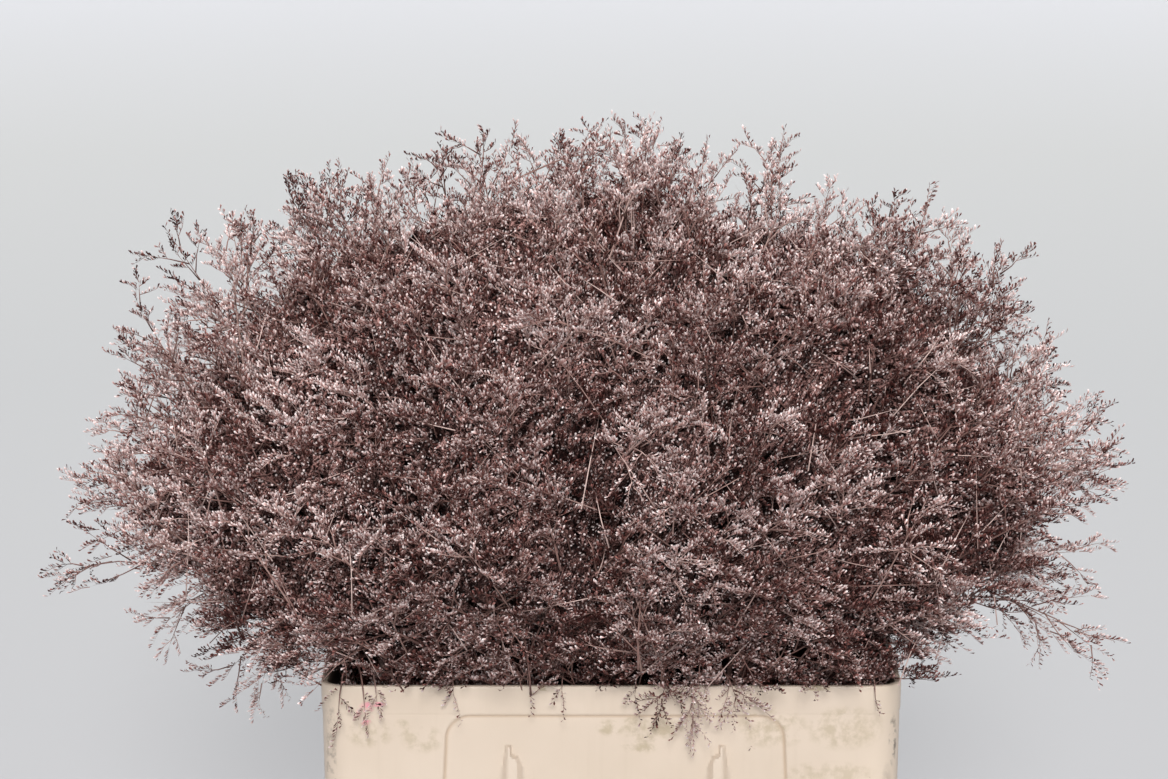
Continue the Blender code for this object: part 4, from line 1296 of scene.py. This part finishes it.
def cream_plastic():
    """Injection-moulded polypropylene: satin, faintly mottled, with stains, scuffs and streaks, and painted
    shade in the crease.
    """
    made, tree, shader = new_material("moulded_cream_polypropylene", Metallic=0.0, IOR=1.49)
    place = add(tree, "TexCoord")["Object"]
    mottling = add(tree, "TexNoise", Vector=place, Scale=cells(MOTTLE_SIZE), Detail=4.0)["Fac"]
    patching = {"Scale": cells(PATCH_SIZE), "Detail": 5.0, "Roughness": 0.65}
    patches = add(tree, "TexNoise", Vector=place, **patching)["Fac"]
    ragged = add(tree, "ValToRGB", stops=((0.44, "#000000"), (0.60, "#ffffff")), Fac=patches)[0]
    stretched = add(tree, "Mapping", Vector=place, Scale=tuple(cells(size) for size in STREAK_SIZES))[0]
    streaks = add(tree, "TexNoise", Vector=stretched, Scale=1.0, Detail=3.0)["Fac"]
    runs = add(tree, "ValToRGB", stops=((0.56, "#000000"), (0.74, "#5a5a5a")), Fac=streaks)[0]
    colour = add(tree, "ValToRGB", stops=((0.3, "#d5c4b1"), (0.7, "#dccbb9")), Fac=mottling)[0]
    painted_crease_shade = add(tree, "Attribute", {"attribute_name": "painted_crease_shade"})["Fac"]
    crease_shade_share = add(tree, "Math", {"operation": "MULTIPLY"}, _0=painted_crease_shade, _1=CREASE_PAINTED_SHADE_STRENGTH)[0]
    stained, scuffed, smeared = (marks(tree, place, spots, ragged) for spots in (STAINS, SCUFFS, SMEAR))
    shares = (runs, stained, scuffed, smeared, crease_shade_share)
    # The last paint is painted shade in the crease round the panel.
    for share, paint in zip(shares, ("#bfae98", "#bdad93", "#857a6e", "#f58da6", "#bfa78e")):
        colour = add(tree, "Mix", COLOURS, _0=share, _6=colour, _7=paint)[2]
    tree.links.new(colour, shader.inputs["Base Color"])
    satin = add(tree, "MapRange", Value=patches, From_Min=0.3, From_Max=0.7, To_Min=0.36, To_Max=0.52)[0]
    tree.links.new(satin, shader.inputs["Roughness"])
    grain = add(tree, "TexNoise", Vector=place, Scale=cells(GRAIN_SIZE), Detail=2.0)["Fac"]
    bump = add(tree, "Bump", Height=grain, Strength=0.12, Distance=0.0004)[0]
    tree.links.new(bump, shader.inputs["Normal"])
    return made


tub = moulded_tub()
tub.data.materials.append(cream_plastic())
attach(tub, BODY)
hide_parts("container")

# %% [markdown]
# ## Floor, light and camera
#
# The photograph was taken in a plain pale studio. The floor here is one wide dish whose edge
# curves up far away, so that no view sees where it ends.

# %% Studio dish
DISH_RADIUS = 16.0
DISH_HEIGHT = 4.0
DISH_FLAT = 0.6
DISH_INNER_RINGS = (0.001, 3.0)
DISH_RINGS, DISH_TURNS = 24, 96
FLOOR_SPAN = 8.0
# Painted light: the floor grows paler with distance from the middle.
FLOOR_PAINTED_LIGHT_STOPS = ((0.10, "#b6b6b8"), (0.35, "#b6b7b8"), (0.60, "#bcbdbd"), (0.95, "#c9cace"))


def studio_dish():
    """A profile turned round the vertical: flat to 60%, then a quarter ellipse up to the edge."""
    share = np.linspace(0, math.pi / 2, DISH_RINGS)
    curving = DISH_RADIUS * (DISH_FLAT + (1 - DISH_FLAT) * np.sin(share))
    radius = np.concatenate((DISH_INNER_RINGS, curving))
    height = np.concatenate(([0.0, 0.0], DISH_HEIGHT * (1 - np.cos(share))))[:, None]
    turn = np.linspace(0, 2 * math.pi, DISH_TURNS, endpoint=False)
    x, y = radius[:, None] * np.cos(turn), radius[:, None] * np.sin(turn)
    corners = np.stack((x, y, height + 0 * turn), 2)
    faces = [face[::-1] for face in ring_faces(len(radius), DISH_TURNS)]
    mesh = bpy.data.meshes.new("studio_dish")
    mesh.from_pydata(corners.reshape(-1, 3).tolist(), [], faces)
    mesh.shade_smooth()
    return placed("studio_dish", mesh)


def studio_floor():
    """Matt painted floor, a little paler further off: painted light, as if it caught more of the lamps."""
    made, tree, shader = new_material("matt_studio_floor_painted_light", Roughness=0.9)
    place = add(tree, "TexCoord")["Object"]
    level = add(tree, "VectorMath", {"operation": "MULTIPLY"}, _0=place, _1=(1, 1, 0))[0]
    away = add(tree, "VectorMath", {"operation": "LENGTH"}, _0=level)["Value"]
    share = add(tree, "MapRange", Value=away, From_Min=0.0, From_Max=FLOOR_SPAN)[0]
    tree.links.new(add(tree, "ValToRGB", stops=FLOOR_PAINTED_LIGHT_STOPS, Fac=share)[0], shader.inputs["Base Color"])
    return made


dish = studio_dish()
dish.data.materials.append(studio_floor())
print("studio floor:", 2 * DISH_RADIUS, "m across")

# %% [markdown]
# Two large soft lamps light the plant: one from above the camera, and one from nearly overhead. A
# lamp that stands far away and fills a wide angle of the sky gives the same soft shadows at the
# front and at the back of the head, so both are sun lamps. A weak even light fills the deepest
# shade.

# %% Lights
HEAD_MIDDLE = (0.0, 0.0, 0.45)
LAMPS = (
    ("key_softbox", 2.5, 13, (0.05, -3.00, 1.75)),
    ("overhead_softbox", 3.1, 24, (-0.05, -0.90, 2.70)),
)
FILL_COLOUR, FILL_STRENGTH = "#f2f2f4", 0.09


def place_light(name, energy, angle, place):
    """A sun lamp turned so that its beam, its own -Z, runs from its place to the head's middle."""
    lamp = bpy.data.lights.new(name, "SUN")
    lamp.energy = energy
    lamp.angle = math.radians(angle)
    made = placed(name, lamp)
    made.location = place
    way = np.array(HEAD_MIDDLE) - np.array(place)
    flat = math.hypot(way[0], way[1])
    made.rotation_euler = (math.atan2(flat, -way[2]), 0, math.atan2(way[1], way[0]) - math.pi / 2)
    made.visible_camera = False


for lamp_values in LAMPS:
    place_light(*lamp_values)
world = bpy.data.worlds.new("studio")
world.use_nodes = True
background = world.node_tree.nodes["Background"]
background.inputs["Color"].default_value = linear(FILL_COLOUR)
background.inputs["Strength"].default_value = FILL_STRENGTH
bpy.context.scene.world = world
bpy.context.scene.view_settings.view_transform = "Standard"
print("lamps:", [name for name, *_ in LAMPS])

# %% [markdown]
# The camera stands 3.45 m in front of the tub's middle, higher than the head, and looks down by
# 11 degrees. The tub's rim, its corners and the far rim at the right fix these values.

# %% Camera
CAMERA_PLACE = (-0.0187, -3.449, 1.1545)
CAMERA_PITCH = 10.77
CAMERA_LENS, SENSOR_WIDTH, CLIP_END = 152.7, 36.0, 100.0
lens = bpy.data.cameras.new("camera")
lens.lens = CAMERA_LENS
lens.sensor_width = SENSOR_WIDTH
lens.clip_end = CLIP_END
camera = placed("camera", lens)
camera.location = CAMERA_PLACE
camera.rotation_euler = (math.radians(90 - CAMERA_PITCH), 0, 0)
bpy.context.scene.camera = camera
